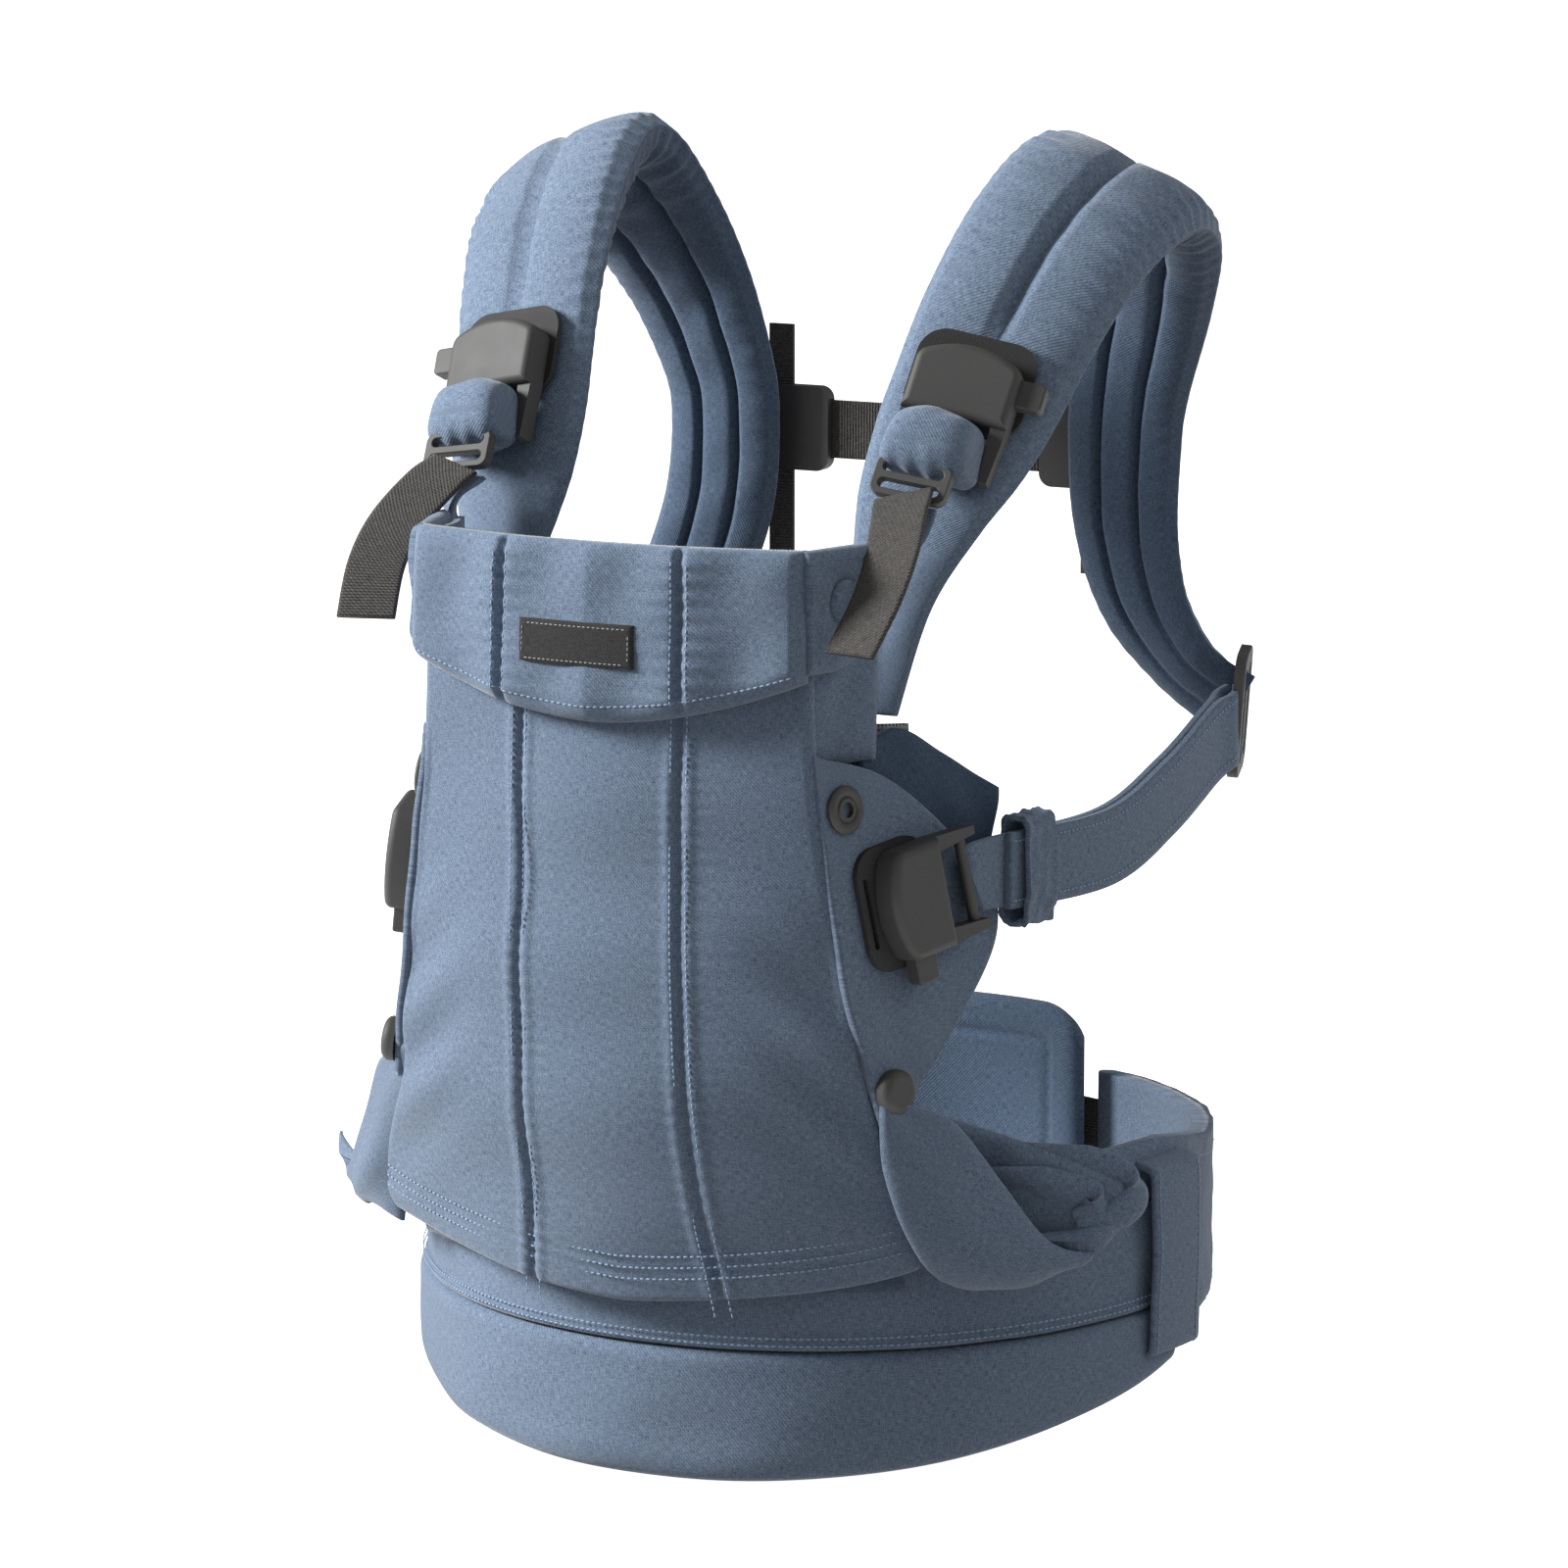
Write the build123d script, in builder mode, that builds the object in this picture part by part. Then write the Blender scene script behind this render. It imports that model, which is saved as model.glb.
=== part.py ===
from build123d import *
import os

# A soft baby carrier in the shape it has when worn. Millimetres, +Z up. The origin is the centre
# of the waist opening, at half the height of the waist belt. The front panel faces -Y, the wearer
# stands behind it, and +X is the wearer's left. The carrier is the same on both sides, so each
# paired piece is made once, at +X, and mirrored.

# Waist belt, bent round the Z axis. Angles are measured from the front (-Y) towards +X.
WAIST_RADIUS = 160.0
BELT_THICKNESS = 9.5
BELT_LOW = -42.0
BELT_HIGH = 33.0
FRONT_SEAM_ANGLE = 0.2
BELT_BACK_END = 157.0
BAND_RADIUS = 170.0
BAND_THICKNESS = 4.0
BAND_LOW = -27.0
BAND_HIGH = 20.0
BAND_HALF_ANGLE = 84.0
CRESCENT_DROP = 85.0
CRESCENT_SIDE_DROP = 46.0

# Front panel: level, half width, and the Y of its outer face at the middle and at the side seam.
PANEL_LEVELS = [
    (-5.0, 128.0, -187.5, -136.0),
    (35.0, 124.0, -199.0, -154.0),
    (82.0, 111.0, -209.0, -180.0),
    (150.0, 101.0, -212.0, -189.0),
    (228.0, 91.0, -209.0, -192.0),
    (270.0, 90.0, -207.0, -191.0),
    (312.0, 89.0, -204.5, -189.5),
]
COVER_THICKNESS = 2.5
PADDING_THICKNESS = 3.5
LINING_THICKNESS = 1.5
LAYER_GAP = 0.4
SEAM_MARGIN = 9.0

# Head support: the padded top of the panel, folded down over the front.
FOLD_LEVEL = 315.0
FLAP_THICKNESS = 6.0
FLAP_GAP = 2.5
FLAP_LOW_MIDDLE = 240.0
FLAP_LOW_SIDE = 262.0
FLAP_HALF_WIDTH = 83.0

# Side planes. x runs back along the carrier's side, y runs up, z points outwards.
SIDE_LEAN = 17.5
SIDE_ORIGIN = (90.0, -192.0, 0.0)
WING_SEAM_TOP = Vector(91.0, -192.0, 228.0)
WING_SEAM_LOW = Vector(114.0, -181.0, 82.0)
WING_TIP = Vector(130.0, -100.0, 154.0)
WING_THICKNESS = 4.0
KNOB_RADIUS = 9.5
KNOB_NECK_RADIUS = 4.2
KNOB_WASHER_RADIUS = 7.5
EYELET_ALONG = 15.0
EYELET_UP = -21.0
KNOB_ALONG = 28.0
KNOB_UP = -139.0

# Buckles: the moulded body is BUCKLE_WIDTH across the strap.
BUCKLE_WIDTH = 46.0
BUCKLE_LENGTH = 30.0
BUCKLE_HEIGHT = 12.0
ARM_LENGTH = 24.0
ARM_WIDTH = 7.0
ARM_HEIGHT = 8.0
TAB_WIDTH = 12.0
TAB_HEIGHT = 6.5
TAB_INSIDE = 7.0
TAB_OUTSIDE = 11.0
TAB_TRAVEL = 3.5
FIT = 0.3
BAR_Y = -BUCKLE_LENGTH / 2 - ARM_LENGTH + 6
BAR_Z = ARM_HEIGHT / 2

# Webbing.
TAIL_WIDTH = 25.0
BACK_STRAP_WIDTH = 26.0
WEBBING = 2.0
SIDE_STRAP_WIDTH = 33.0
WAIST_WEBBING_WIDTH = 38.0

os.makedirs("parts", exist_ok=True)


def save(solid, label):
    solid.label = label
    export_step(solid, f"parts/{label}.step")


def save_pair(solid, label):
    """Write the piece at +X, and its mirror image at -X."""
    with BuildPart() as other:
        mirror(solid, about=Plane.YZ)
    save(solid, f"{label}_left")
    save(other.part, f"{label}_right")


def save_group(solid, label):
    """Write the piece and its mirror image together, as one node of two solids."""
    with BuildPart() as both:
        add(solid)
        mirror(solid, about=Plane.YZ)
    save(both.part, label)


def sector(inner, outer, start, end, level):
    """A flat ring sector about the Z axis, at one level."""
    with BuildSketch(Plane.XY.offset(level)) as face:
        with BuildLine():
            far = CenterArc((0, 0), outer, start - 90, end - start)
            near = CenterArc((0, 0), inner, start - 90, end - start)
            Line(far @ 0, near @ 0)
            Line(far @ 1, near @ 1)
        make_face()
    return face.sketch


def outermost(shapes, plane):
    """The shape that lies furthest out along a plane's normal."""
    return shapes.sort_by(lambda shape: plane.to_local_coords(shape.center()).Z)[-1]


def path_plane(points, index, across):
    """The plane square to a path at one of its points, with x along the given direction."""
    before = points[max(index - 1, 0)]
    after = points[min(index + 1, len(points) - 1)]
    tangent = (after - before).normalized()
    side = (across - tangent * across.dot(tangent)).normalized()
    return Plane(origin=points[index], x_dir=side, z_dir=tangent)


def strap(points, widths, thicknesses, across, padded=False):
    """A strap through the points, straight between them. Padded straps have rounded edges."""
    sections = []
    for index, width in enumerate(widths):
        with BuildSketch(path_plane(points, index, across[index])) as section:
            if padded:
                SlotOverall(width, thicknesses[index])
            else:
                Rectangle(width, thicknesses[index])
        sections.append(section.sketch)
    with BuildPart() as body:
        loft(sections=sections, ruled=True)
    return body.part


# ---------------------------------------------------------------- waist belt


def waist_belt():
    """The padded half of the belt, from the front seam to the webbing at the back."""
    with BuildPart() as half:
        ring = sector(WAIST_RADIUS, WAIST_RADIUS + BELT_THICKNESS, FRONT_SEAM_ANGLE, BELT_BACK_END, BELT_LOW)
        extrude(ring, amount=BELT_HIGH - BELT_LOW)
    return half.part


def belt_band():
    """The flat outer band that the front panel is sewn to."""
    with BuildPart() as band:
        ring = sector(BAND_RADIUS, BAND_RADIUS + BAND_THICKNESS, -BAND_HALF_ANGLE, BAND_HALF_ANGLE, BAND_LOW)
        extrude(ring, amount=BAND_HIGH - BAND_LOW)
    return band.part


def belt_crescent():
    """The stomach flap under the band, deepest at the front."""
    outer = BAND_RADIUS + BAND_THICKNESS
    half = outer + 2
    rise = CRESCENT_DROP - CRESCENT_SIDE_DROP
    with BuildPart() as flap:
        extrude(sector(BAND_RADIUS, outer, -60, 60, -CRESCENT_DROP), amount=CRESCENT_DROP + BAND_LOW - FIT)
        extrude(sector(BAND_RADIUS, outer, -74, 74, -CRESCENT_DROP), amount=CRESCENT_DROP + BELT_LOW - FIT)
        with BuildSketch(Plane.XZ.offset(0)):
            with BuildLine():
                ThreePointArc((-half, -CRESCENT_SIDE_DROP), (0, -CRESCENT_DROP), (half, -CRESCENT_SIDE_DROP))
                Line((half, -CRESCENT_SIDE_DROP), (half, -CRESCENT_DROP - rise))
                Line((half, -CRESCENT_DROP - rise), (-half, -CRESCENT_DROP - rise))
                Line((-half, -CRESCENT_DROP - rise), (-half, -CRESCENT_SIDE_DROP))
            make_face()
        extrude(amount=half, mode=Mode.SUBTRACT)
    return flap.part


def belt_keeper():
    """The fabric loop that holds the end of the band against the belt."""
    inner = BAND_RADIUS - 10.5
    outer = BAND_RADIUS + 12
    with BuildPart() as loop:
        extrude(sector(inner - 2.5, outer, 77, 89, BELT_LOW - 5), amount=BELT_HIGH - BELT_LOW + 9)
        extrude(sector(inner, outer - 2.5, 76, 90, BELT_LOW - 2), amount=BELT_HIGH - BELT_LOW + 3.5, mode=Mode.SUBTRACT)
    return loop.part


save_pair(waist_belt(), "waist_belt")
save(belt_band(), "belt_band")
save(belt_crescent(), "stomach_flap")
save_pair(belt_keeper(), "belt_keeper")


# ---------------------------------------------------------------- back of the belt: webbing, buckle, lumbar pad

WEBBING_RADIUS = 160.5
LUMBAR_RADIUS = 143.0
LUMBAR_THICKNESS = 11.0
LUMBAR_HALF_ANGLE = 22.0
LUMBAR_LOW = -30.0
LUMBAR_HIGH = 63.0
SOCKET_FRONT = 172.5
SOCKET_BACK = 187.5


def waist_webbing(start, end):
    """The webbing between a padded half of the belt and its side of the buckle."""
    with BuildPart() as webbing:
        ring = sector(WEBBING_RADIUS, WEBBING_RADIUS + WEBBING, start, end, -WAIST_WEBBING_WIDTH / 2)
        extrude(ring, amount=WAIST_WEBBING_WIDTH)
    return webbing.part


def buckle_block(start, end, low, high, inner, outer):
    """A rounded block of the waist buckle, bent to the belt."""
    with BuildPart() as block:
        extrude(sector(inner, outer, start, end, low), amount=high - low)
        fillet(block.edges().filter_by(GeomType.LINE).filter_by(Axis.Z, reverse=True), 1.5)
        fillet(block.edges().filter_by(GeomType.CIRCLE).group_by(SortBy.RADIUS)[-1], 1.2)
    return block.part


def waist_buckle_socket():
    """The female half, open towards the insert, with a round hole for the release button."""
    with BuildPart() as socket:
        add(buckle_block(176.4, SOCKET_BACK, -25, 25, 157.5, 171))
        extrude(sector(160.0, 168.5, 176.0, 186.0, -21.3), amount=42.6, mode=Mode.SUBTRACT)
        extrude(sector(160.0, 163.2, 185.5, 189.0, -19.5), amount=39, mode=Mode.SUBTRACT)
        with BuildSketch(Plane(origin=(-1.5, 165, 0), x_dir=(1, 0, 0), z_dir=(0, 1, 0))):
            Circle(8.3)
        extrude(amount=10, mode=Mode.SUBTRACT)
    return socket.part


def waist_buckle_insert():
    """The male half: a grip block with a flat tongue that goes into the socket."""
    with BuildPart() as insert:
        add(buckle_block(SOCKET_FRONT, 176.0, -24, 24, 157.5, 170.5))
        extrude(sector(160.5, 163.6, 175.8, 185.6, -20.8), amount=41.6)
        extrude(sector(160.0, 163.2, 171.0, 175.0, -19.5), amount=39, mode=Mode.SUBTRACT)
    return insert.part


def waist_buckle_button():
    """The push button in the socket's outer face. It presses in towards the wearer."""
    with BuildPart() as button:
        with BuildSketch(Plane(origin=(-1.5, 166.7, 0), x_dir=(1, 0, 0), z_dir=(0, 1, 0))):
            Circle(8.0)
        extrude(amount=5.6)
        fillet(button.edges().group_by(Axis.Y)[-1], 1.0)
    return button.part


def lumbar_pad():
    """The back pad, bent round the wearer, with its two keeper loops for the webbing."""
    half = LUMBAR_RADIUS + LUMBAR_THICKNESS
    with BuildPart() as pad:
        ring = sector(LUMBAR_RADIUS, half, 180 - LUMBAR_HALF_ANGLE, 180 + LUMBAR_HALF_ANGLE, LUMBAR_LOW)
        extrude(ring, amount=LUMBAR_HIGH - LUMBAR_LOW)
        fillet(pad.edges().filter_by(GeomType.LINE).filter_by(Axis.Z, reverse=True), 24)
    return pad.part


def lumbar_loop(middle):
    """A webbing loop sewn to the back of the lumbar pad."""
    inner = LUMBAR_RADIUS + LUMBAR_THICKNESS + FIT
    with BuildPart() as loop:
        extrude(sector(inner, 165.5, middle - 1.8, middle + 1.8, -24), amount=48)
        extrude(sector(159.3, 163.7, middle - 2.5, middle + 2.5, -20.5), amount=41, mode=Mode.SUBTRACT)
    return loop.part


save(waist_webbing(BELT_BACK_END + FIT, 174.6), "waist_webbing_left")
save(waist_webbing(186.3, 360 - BELT_BACK_END - FIT), "waist_webbing_right")
save(waist_buckle_socket(), "waist_buckle_socket")
save(waist_buckle_insert(), "waist_buckle_insert")
save(waist_buckle_button(), "waist_buckle_button")
save(lumbar_pad(), "lumbar_pad")
save_group(lumbar_loop(165.0), "lumbar_loops")


# ---------------------------------------------------------------- front panel


def panel_section(level, half_width, middle_y, side_y, gap, thickness):
    """One level of a panel layer: an arc from side seam to side seam, as thick as the layer."""
    with BuildSketch(Plane.XY.offset(level)) as section:
        with BuildLine():
            outer = ThreePointArc((-half_width, side_y + gap), (0, middle_y + gap), (half_width, side_y + gap))
            inner = ThreePointArc(
                (-half_width, side_y + gap + thickness),
                (0, middle_y + gap + thickness),
                (half_width, side_y + gap + thickness),
            )
            Line(outer @ 0, inner @ 0)
            Line(outer @ 1, inner @ 1)
        make_face()
    return section.sketch


def panel_layer(gap, thickness):
    """A full-height layer of the front panel, set back from the outer face by gap."""
    with BuildPart() as layer:
        loft(sections=[panel_section(*row, gap, thickness) for row in PANEL_LEVELS])
    return layer.part


def inner_layer(gap, thickness):
    """A layer behind the cover, which stops short of the side seams."""
    edge = [(half_width - SEAM_MARGIN, level) for level, half_width, _, _ in PANEL_LEVELS]
    with BuildPart() as layer:
        add(panel_layer(gap, thickness))
        with BuildSketch(Plane.XZ.offset(100)):
            with BuildLine():
                Polyline(*edge, *[(-x, level) for x, level in reversed(edge)], edge[0])
            make_face()
        extrude(amount=150, mode=Mode.INTERSECT)
    return layer.part


padding_gap = COVER_THICKNESS + LAYER_GAP
lining_gap = padding_gap + PADDING_THICKNESS + LAYER_GAP
save(panel_layer(0, COVER_THICKNESS), "front_panel_cover")
save(inner_layer(padding_gap, PADDING_THICKNESS), "front_panel_padding")
save(inner_layer(lining_gap, LINING_THICKNESS), "front_panel_lining")


# ---------------------------------------------------------------- head support

side_back = Vector(0, 1, 0).rotate(Axis.Z, -SIDE_LEAN)
side_out = Vector(1, 0, 0).rotate(Axis.Z, -SIDE_LEAN)
side_plane = Plane(origin=SIDE_ORIGIN, x_dir=side_back, z_dir=side_out)


def flap_layer(gap, thickness):
    """A layer that lies in front of the panel's top, from below the flap's edge to the fold."""
    with BuildPart() as layer:
        loft(sections=[
            panel_section(PANEL_LEVELS[-3][0], *PANEL_LEVELS[-3][1:], gap, thickness),
            panel_section(PANEL_LEVELS[-2][0], *PANEL_LEVELS[-2][1:], gap, thickness),
            panel_section(FOLD_LEVEL - 1, *PANEL_LEVELS[-1][1:], gap, thickness),
        ])
    return layer.part


def head_support():
    """The middle of the folded flap. Its lower edge hangs in a shallow curve."""
    high = FOLD_LEVEL - 1
    with BuildPart() as flap:
        add(flap_layer(-FLAP_GAP - FLAP_THICKNESS, FLAP_THICKNESS))
        with BuildSketch(Plane.XZ.offset(150)):
            with BuildLine():
                edge = ThreePointArc(
                    (-FLAP_HALF_WIDTH, FLAP_LOW_SIDE), (0, FLAP_LOW_MIDDLE), (FLAP_HALF_WIDTH, FLAP_LOW_SIDE)
                )
                Polyline(edge @ 1, (FLAP_HALF_WIDTH, high), (-FLAP_HALF_WIDTH, high), edge @ 0)
            make_face()
        extrude(amount=120, mode=Mode.INTERSECT)
    return flap.part


def head_support_side():
    """The flap's end, which turns the corner of the panel. Its rear lower corner is rounded."""
    with BuildPart() as flap:
        with BuildSketch(side_plane.offset(-3)):
            with BuildLine():
                Polyline((18, 270), (7, 267), (7, 314), (40, 314), (40, 288))
                ThreePointArc((40, 288), (34, 275), (18, 270))
            make_face()
        extrude(amount=FLAP_THICKNESS)
    return flap.part


def flap_button():
    """A fabric-covered button on the flap's end."""
    with BuildPart() as button:
        with BuildSketch(side_plane.offset(3 + FIT)):
            with Locations((16, 293)):
                Circle(8.5)
        extrude(amount=3.5)
        fillet(outermost(button.edges(), side_plane), 1.4)
    return button.part


def label_patch():
    """The bare patch sewn to the middle of the flap."""
    with BuildPart() as patch:
        add(flap_layer(-FLAP_GAP - FLAP_THICKNESS - 1.3, 1.0))
        with BuildSketch(Plane.XZ.offset(150)):
            with Locations((-4, 274)):
                RectangleRounded(50, 18, 2.5)
        extrude(amount=120, mode=Mode.INTERSECT)
    return patch.part


save(head_support(), "head_support")
save_pair(head_support_side(), "head_support_side")
save_pair(flap_button(), "flap_button")
save(label_patch(), "label_patch")


# ---------------------------------------------------------------- panel sides, wings and leg lobes

wing_normal = (WING_SEAM_LOW - WING_SEAM_TOP).cross(WING_TIP - WING_SEAM_TOP).normalized()
wing_plane = Plane(origin=WING_SEAM_TOP, x_dir=Vector(0, 0, 1).cross(wing_normal), z_dir=wing_normal)


def panel_side():
    """The strip that turns the top of the panel back towards the shoulder strap."""
    with BuildPart() as strip:
        with BuildSketch(side_plane.offset(-9)):
            with BuildLine():
                Polyline((10, 232), (10, 312), (38, 312), (38, 232), (10, 232))
            make_face()
        extrude(amount=4)
    return strip.part


def wing():
    """The folding side wing. Its front edge is the panel's side seam."""
    with BuildPart() as plate:
        with BuildSketch(wing_plane.offset(-WING_THICKNESS)):
            with BuildLine():
                front = Line((22, -140), (5, -1))
                top = Spline(front @ 1, (37, -9), (68, -31), (97, -62))
                tip = ThreePointArc(top @ 1, (101, -75), (96, -90))
                low = Spline(tip @ 1, (76, -112), (52, -134), (34, -151))
                ThreePointArc(low @ 1, (25, -153), front @ 0)
            make_face()
            with Locations((EYELET_ALONG, EYELET_UP), (KNOB_ALONG, KNOB_UP)):
                Circle(4.6, mode=Mode.SUBTRACT)
        extrude(amount=WING_THICKNESS)
    return plate.part


def wing_lining():
    """The dark inner gusset behind the wing, which joins it to the side strap."""
    with BuildPart() as plate:
        with BuildSketch(wing_plane.offset(-10)):
            with BuildLine():
                Polyline((40, 2), (56, 8), (84, -6), (112, -24), (104, -46), (84, -56), (40, -50), (40, 2))
            make_face()
        extrude(amount=3)
    return plate.part


def mesh_gusset():
    """The open spacer mesh between the panel's lining and the shoulder strap."""
    with BuildPart() as plate:
        with BuildSketch(side_plane.offset(-17)):
            with BuildLine():
                Polyline((38, 196), (38, 236), (70, 230), (70, 200), (38, 196))
            make_face()
        extrude(amount=3)
    return plate.part


# Upper edge, lower edge and outward direction of the wide seat's side, from the panel to the belt.
LOBE_ROWS = [
    ((119.0, -172.0, 75.0), (136.0, -132.0, 3.0), (0.8, -0.6, 0.1)),
    ((137.0, -163.0, 60.0), (154.0, -130.0, 0.0), (0.75, -0.65, 0)),
    ((160.0, -142.0, 48.0), (171.0, -118.0, 6.0), (0.8, -0.6, 0)),
    ((177.0, -110.0, 48.0), (182.0, -98.0, 14.0), (0.95, -0.3, 0)),
    ((180.0, -78.0, 50.0), (183.0, -74.0, 24.0), (1, 0.1, 0)),
]
LOBE_THICKNESS = 7.0


def leg_lobe():
    """The wide seat's side, which bends back from the panel towards the belt."""
    sections = []
    for top, low, outward in LOBE_ROWS:
        rise = Vector(*top) - Vector(*low)
        middle = (Vector(*top) + Vector(*low)) * 0.5
        with BuildSketch(Plane(origin=middle, x_dir=rise, z_dir=rise.cross(Vector(*outward)))) as section:
            Rectangle(rise.length, LOBE_THICKNESS)
        sections.append(section.sketch)
    with BuildPart() as lobe:
        loft(sections=sections, ruled=True)
    return lobe.part


save_group(panel_side(), "panel_sides")
save_pair(wing(), "wing")
save_group(wing_lining(), "wing_linings")
save_group(mesh_gusset(), "mesh_gussets")
save_pair(leg_lobe(), "leg_lobe")


# ---------------------------------------------------------------- fittings on the wing


def on_wing(solid, along, up):
    """The solid, made about the Z axis, set on the wing's outer face."""
    return solid.moved(wing_plane * Pos(along, up, 0))


def eyelet():
    """The ring in the wing, with a flange on each face of the fabric."""
    with BuildPart() as ring:
        with BuildSketch(Plane.XZ):
            with BuildLine():
                Polyline((3.2, -6.0), (8.5, -6.0), (8.5, -4.4), (4.3, -4.4))
                Polyline((4.3, -4.4), (4.3, 0.3), (10.0, 0.3), (10.0, 1.4))
                ThreePointArc((10.0, 1.4), (7.6, 2.6), (5.4, 1.5))
                Polyline((5.4, 1.5), (4.6, 2.4), (3.2, 2.4), (3.2, -6.0))
            make_face()
        revolve(axis=Axis.Z)
    return on_wing(ring.part, EYELET_ALONG, EYELET_UP)


def knob():
    """The domed stud at the wing's lower corner, on a neck with a washer behind."""
    with BuildPart() as stud:
        with BuildSketch(Plane.XY.offset(-WING_THICKNESS - 2.2)):
            Circle(KNOB_WASHER_RADIUS)
        extrude(amount=1.7)
        with BuildSketch(Plane.XY.offset(-WING_THICKNESS - 1.0)):
            Circle(KNOB_NECK_RADIUS)
        extrude(amount=WING_THICKNESS + 2)
        with BuildSketch(Plane.XY.offset(0.4)):
            Circle(KNOB_RADIUS)
        extrude(amount=6)
        fillet(stud.edges().group_by(Axis.Z)[-1], 3.5)
    return on_wing(stud.part, KNOB_ALONG, KNOB_UP)


save_group(eyelet(), "eyelets")
save_group(knob(), "seat_knobs")


# ---------------------------------------------------------------- buckles


def buckle_base(plane, stitch_slot):
    """The sewn-on plate under a buckle. plane: x across the strap, y along it, z outwards."""
    with BuildPart() as plate:
        with BuildSketch(plane):
            with Locations((0, 4)):
                RectangleRounded(BUCKLE_WIDTH + 6, BUCKLE_LENGTH + 12, 12)
            if stitch_slot:
                with Locations((0, 20.5)):
                    SlotOverall(30, 2.6, mode=Mode.SUBTRACT)
        extrude(amount=2.4)
    return plate.part


def buckle_body(plane, tab_side):
    """The buckle's clip-in body, with two arms that carry the strap bar and a pocket for the tab."""
    half = BUCKLE_WIDTH / 2
    nose = BUCKLE_LENGTH / 2
    face = plane.offset(2.4 + FIT)
    with BuildPart() as body:
        with BuildSketch(face):
            with BuildLine():
                side = Line((half, -nose), (half, nose - 5))
                top = ThreePointArc(side @ 1, (0, nose + 2), (-half, nose - 5))
                Polyline(top @ 1, (-half, -nose), side @ 0)
            outline = make_face()
            fillet(outline.vertices().group_by(Axis.Y)[-1], 6)
        extrude(amount=BUCKLE_HEIGHT)
        fillet(outermost(body.faces(), face).edges(), 3.5)
        for side in (-1, 1):
            with BuildSketch(face):
                with BuildLine():
                    Polyline(
                        (side * half, -nose + 4),
                        (side * half, -nose),
                        (side * (half - 1.5), -nose - ARM_LENGTH),
                        (side * (half - 5), -nose - ARM_LENGTH),
                        (side * (half - ARM_WIDTH), -nose),
                        (side * (half - ARM_WIDTH), -nose + 4),
                        (side * half, -nose + 4),
                    )
                make_face()
            extrude(amount=ARM_HEIGHT)
        bar_start = face.from_local_coords(Vector(-half + 3, BAR_Y, BAR_Z))
        with BuildSketch(Plane(origin=bar_start, x_dir=face.y_dir, z_dir=face.x_dir)):
            Circle(2.4)
        extrude(amount=BUCKLE_WIDTH - 6)
        with BuildSketch(face.offset(1.4 - FIT)):
            with Locations((tab_side * half, 2)):
                Rectangle(2 * (TAB_INSIDE + TAB_TRAVEL + FIT), TAB_WIDTH + 2 * FIT)
        extrude(amount=TAB_HEIGHT + 2 * FIT, mode=Mode.SUBTRACT)
    return body.part


def release_tab(plane, tab_side):
    """The sprung tab at one end of a buckle. It presses in along the buckle's x."""
    face = plane.offset(2.4 + FIT + 1.4)
    with BuildPart() as tab:
        with BuildSketch(face):
            with Locations((tab_side * (BUCKLE_WIDTH + TAB_OUTSIDE - TAB_INSIDE) / 2, 2)):
                RectangleRounded(TAB_INSIDE + TAB_OUTSIDE, TAB_WIDTH, 2.2)
        extrude(amount=TAB_HEIGHT)
        fillet(outermost(tab.faces(), face).edges(), 1.0)
    return tab.part


# Shoulder buckles lie on the front of the shoulder straps, and the side buckles on the wings.
shoulder_up = Vector(0.09, 0.48, 0.87).normalized()
shoulder_out = Vector(0.96, 0.15, -0.22)
shoulder_out = (shoulder_out - shoulder_up * shoulder_out.dot(shoulder_up)).normalized()
shoulder_plane = Plane(origin=(108.25, -84.6, 367.7), x_dir=shoulder_out, z_dir=shoulder_out.cross(shoulder_up))
side_buckle_plane = Plane(
    origin=wing_plane.from_local_coords(Vector(43, -62, FIT)),
    x_dir=wing_plane.y_dir.rotate(Axis((0, 0, 0), wing_normal), 8),
    z_dir=wing_normal,
)

for label, plane, tab_side in (("shoulder", shoulder_plane, 1), ("side", side_buckle_plane, -1)):
    save_group(buckle_base(plane, label == "side"), f"{label}_buckle_bases")
    save_pair(buckle_body(plane, tab_side), f"{label}_buckle")
    save_pair(release_tab(plane, tab_side), f"{label}_release_tab")


# ---------------------------------------------------------------- shoulder straps

# Middle of the padded strap, its width, its thickness, and the direction from its inner to its outer edge.
SHOULDER_STATIONS = [
    ((98, -132, 243), 28, 7, (1, 0.1, -0.1)),
    ((97, -120, 285), 46, 10, (1, 0.05, -0.1)),
    ((98, -104, 320), 62, 12, (1, 0.05, -0.15)),
    ((102, -88, 345), 70, 14, (1, 0.1, -0.2)),
    ((107, -74, 366), 74, 16, (1, 0.15, -0.23)),
    ((114, -54, 397), 78, 18, (1, 0.1, -0.33)),
    ((122, -24, 428), 82, 21, (1, 0, -0.42)),
    ((128, 16, 446), 84, 22, (1, 0, -0.45)),
    ((125, 54, 430), 76, 21, (1, 0, -0.35)),
    ((113, 82, 394), 64, 19, (1, 0, -0.2)),
    ((101, 93, 352), 56, 17, (1, 0, 0)),
    ((98, 95, 325), 54, 16, (1, 0, 0)),
    ((100, 93, 290), 52, 15, (1, -0.1, 0.1)),
    ((110, 90, 258), 48, 13, (1, -0.25, 0.3)),
    ((126, 92, 234), 42, 11, (0.8, -0.4, 0.5)),
    ((139, 96, 221), 36, 7, (0.6, -0.4, 0.8)),
]
BACK_STRAP_LEVEL = 322.0
BACK_STRAP_Y = 109.5
RAIL_X = 77.0
RAIL_WIDTH = 12.0
SLIDER_WIDTH = 32.0


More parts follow.
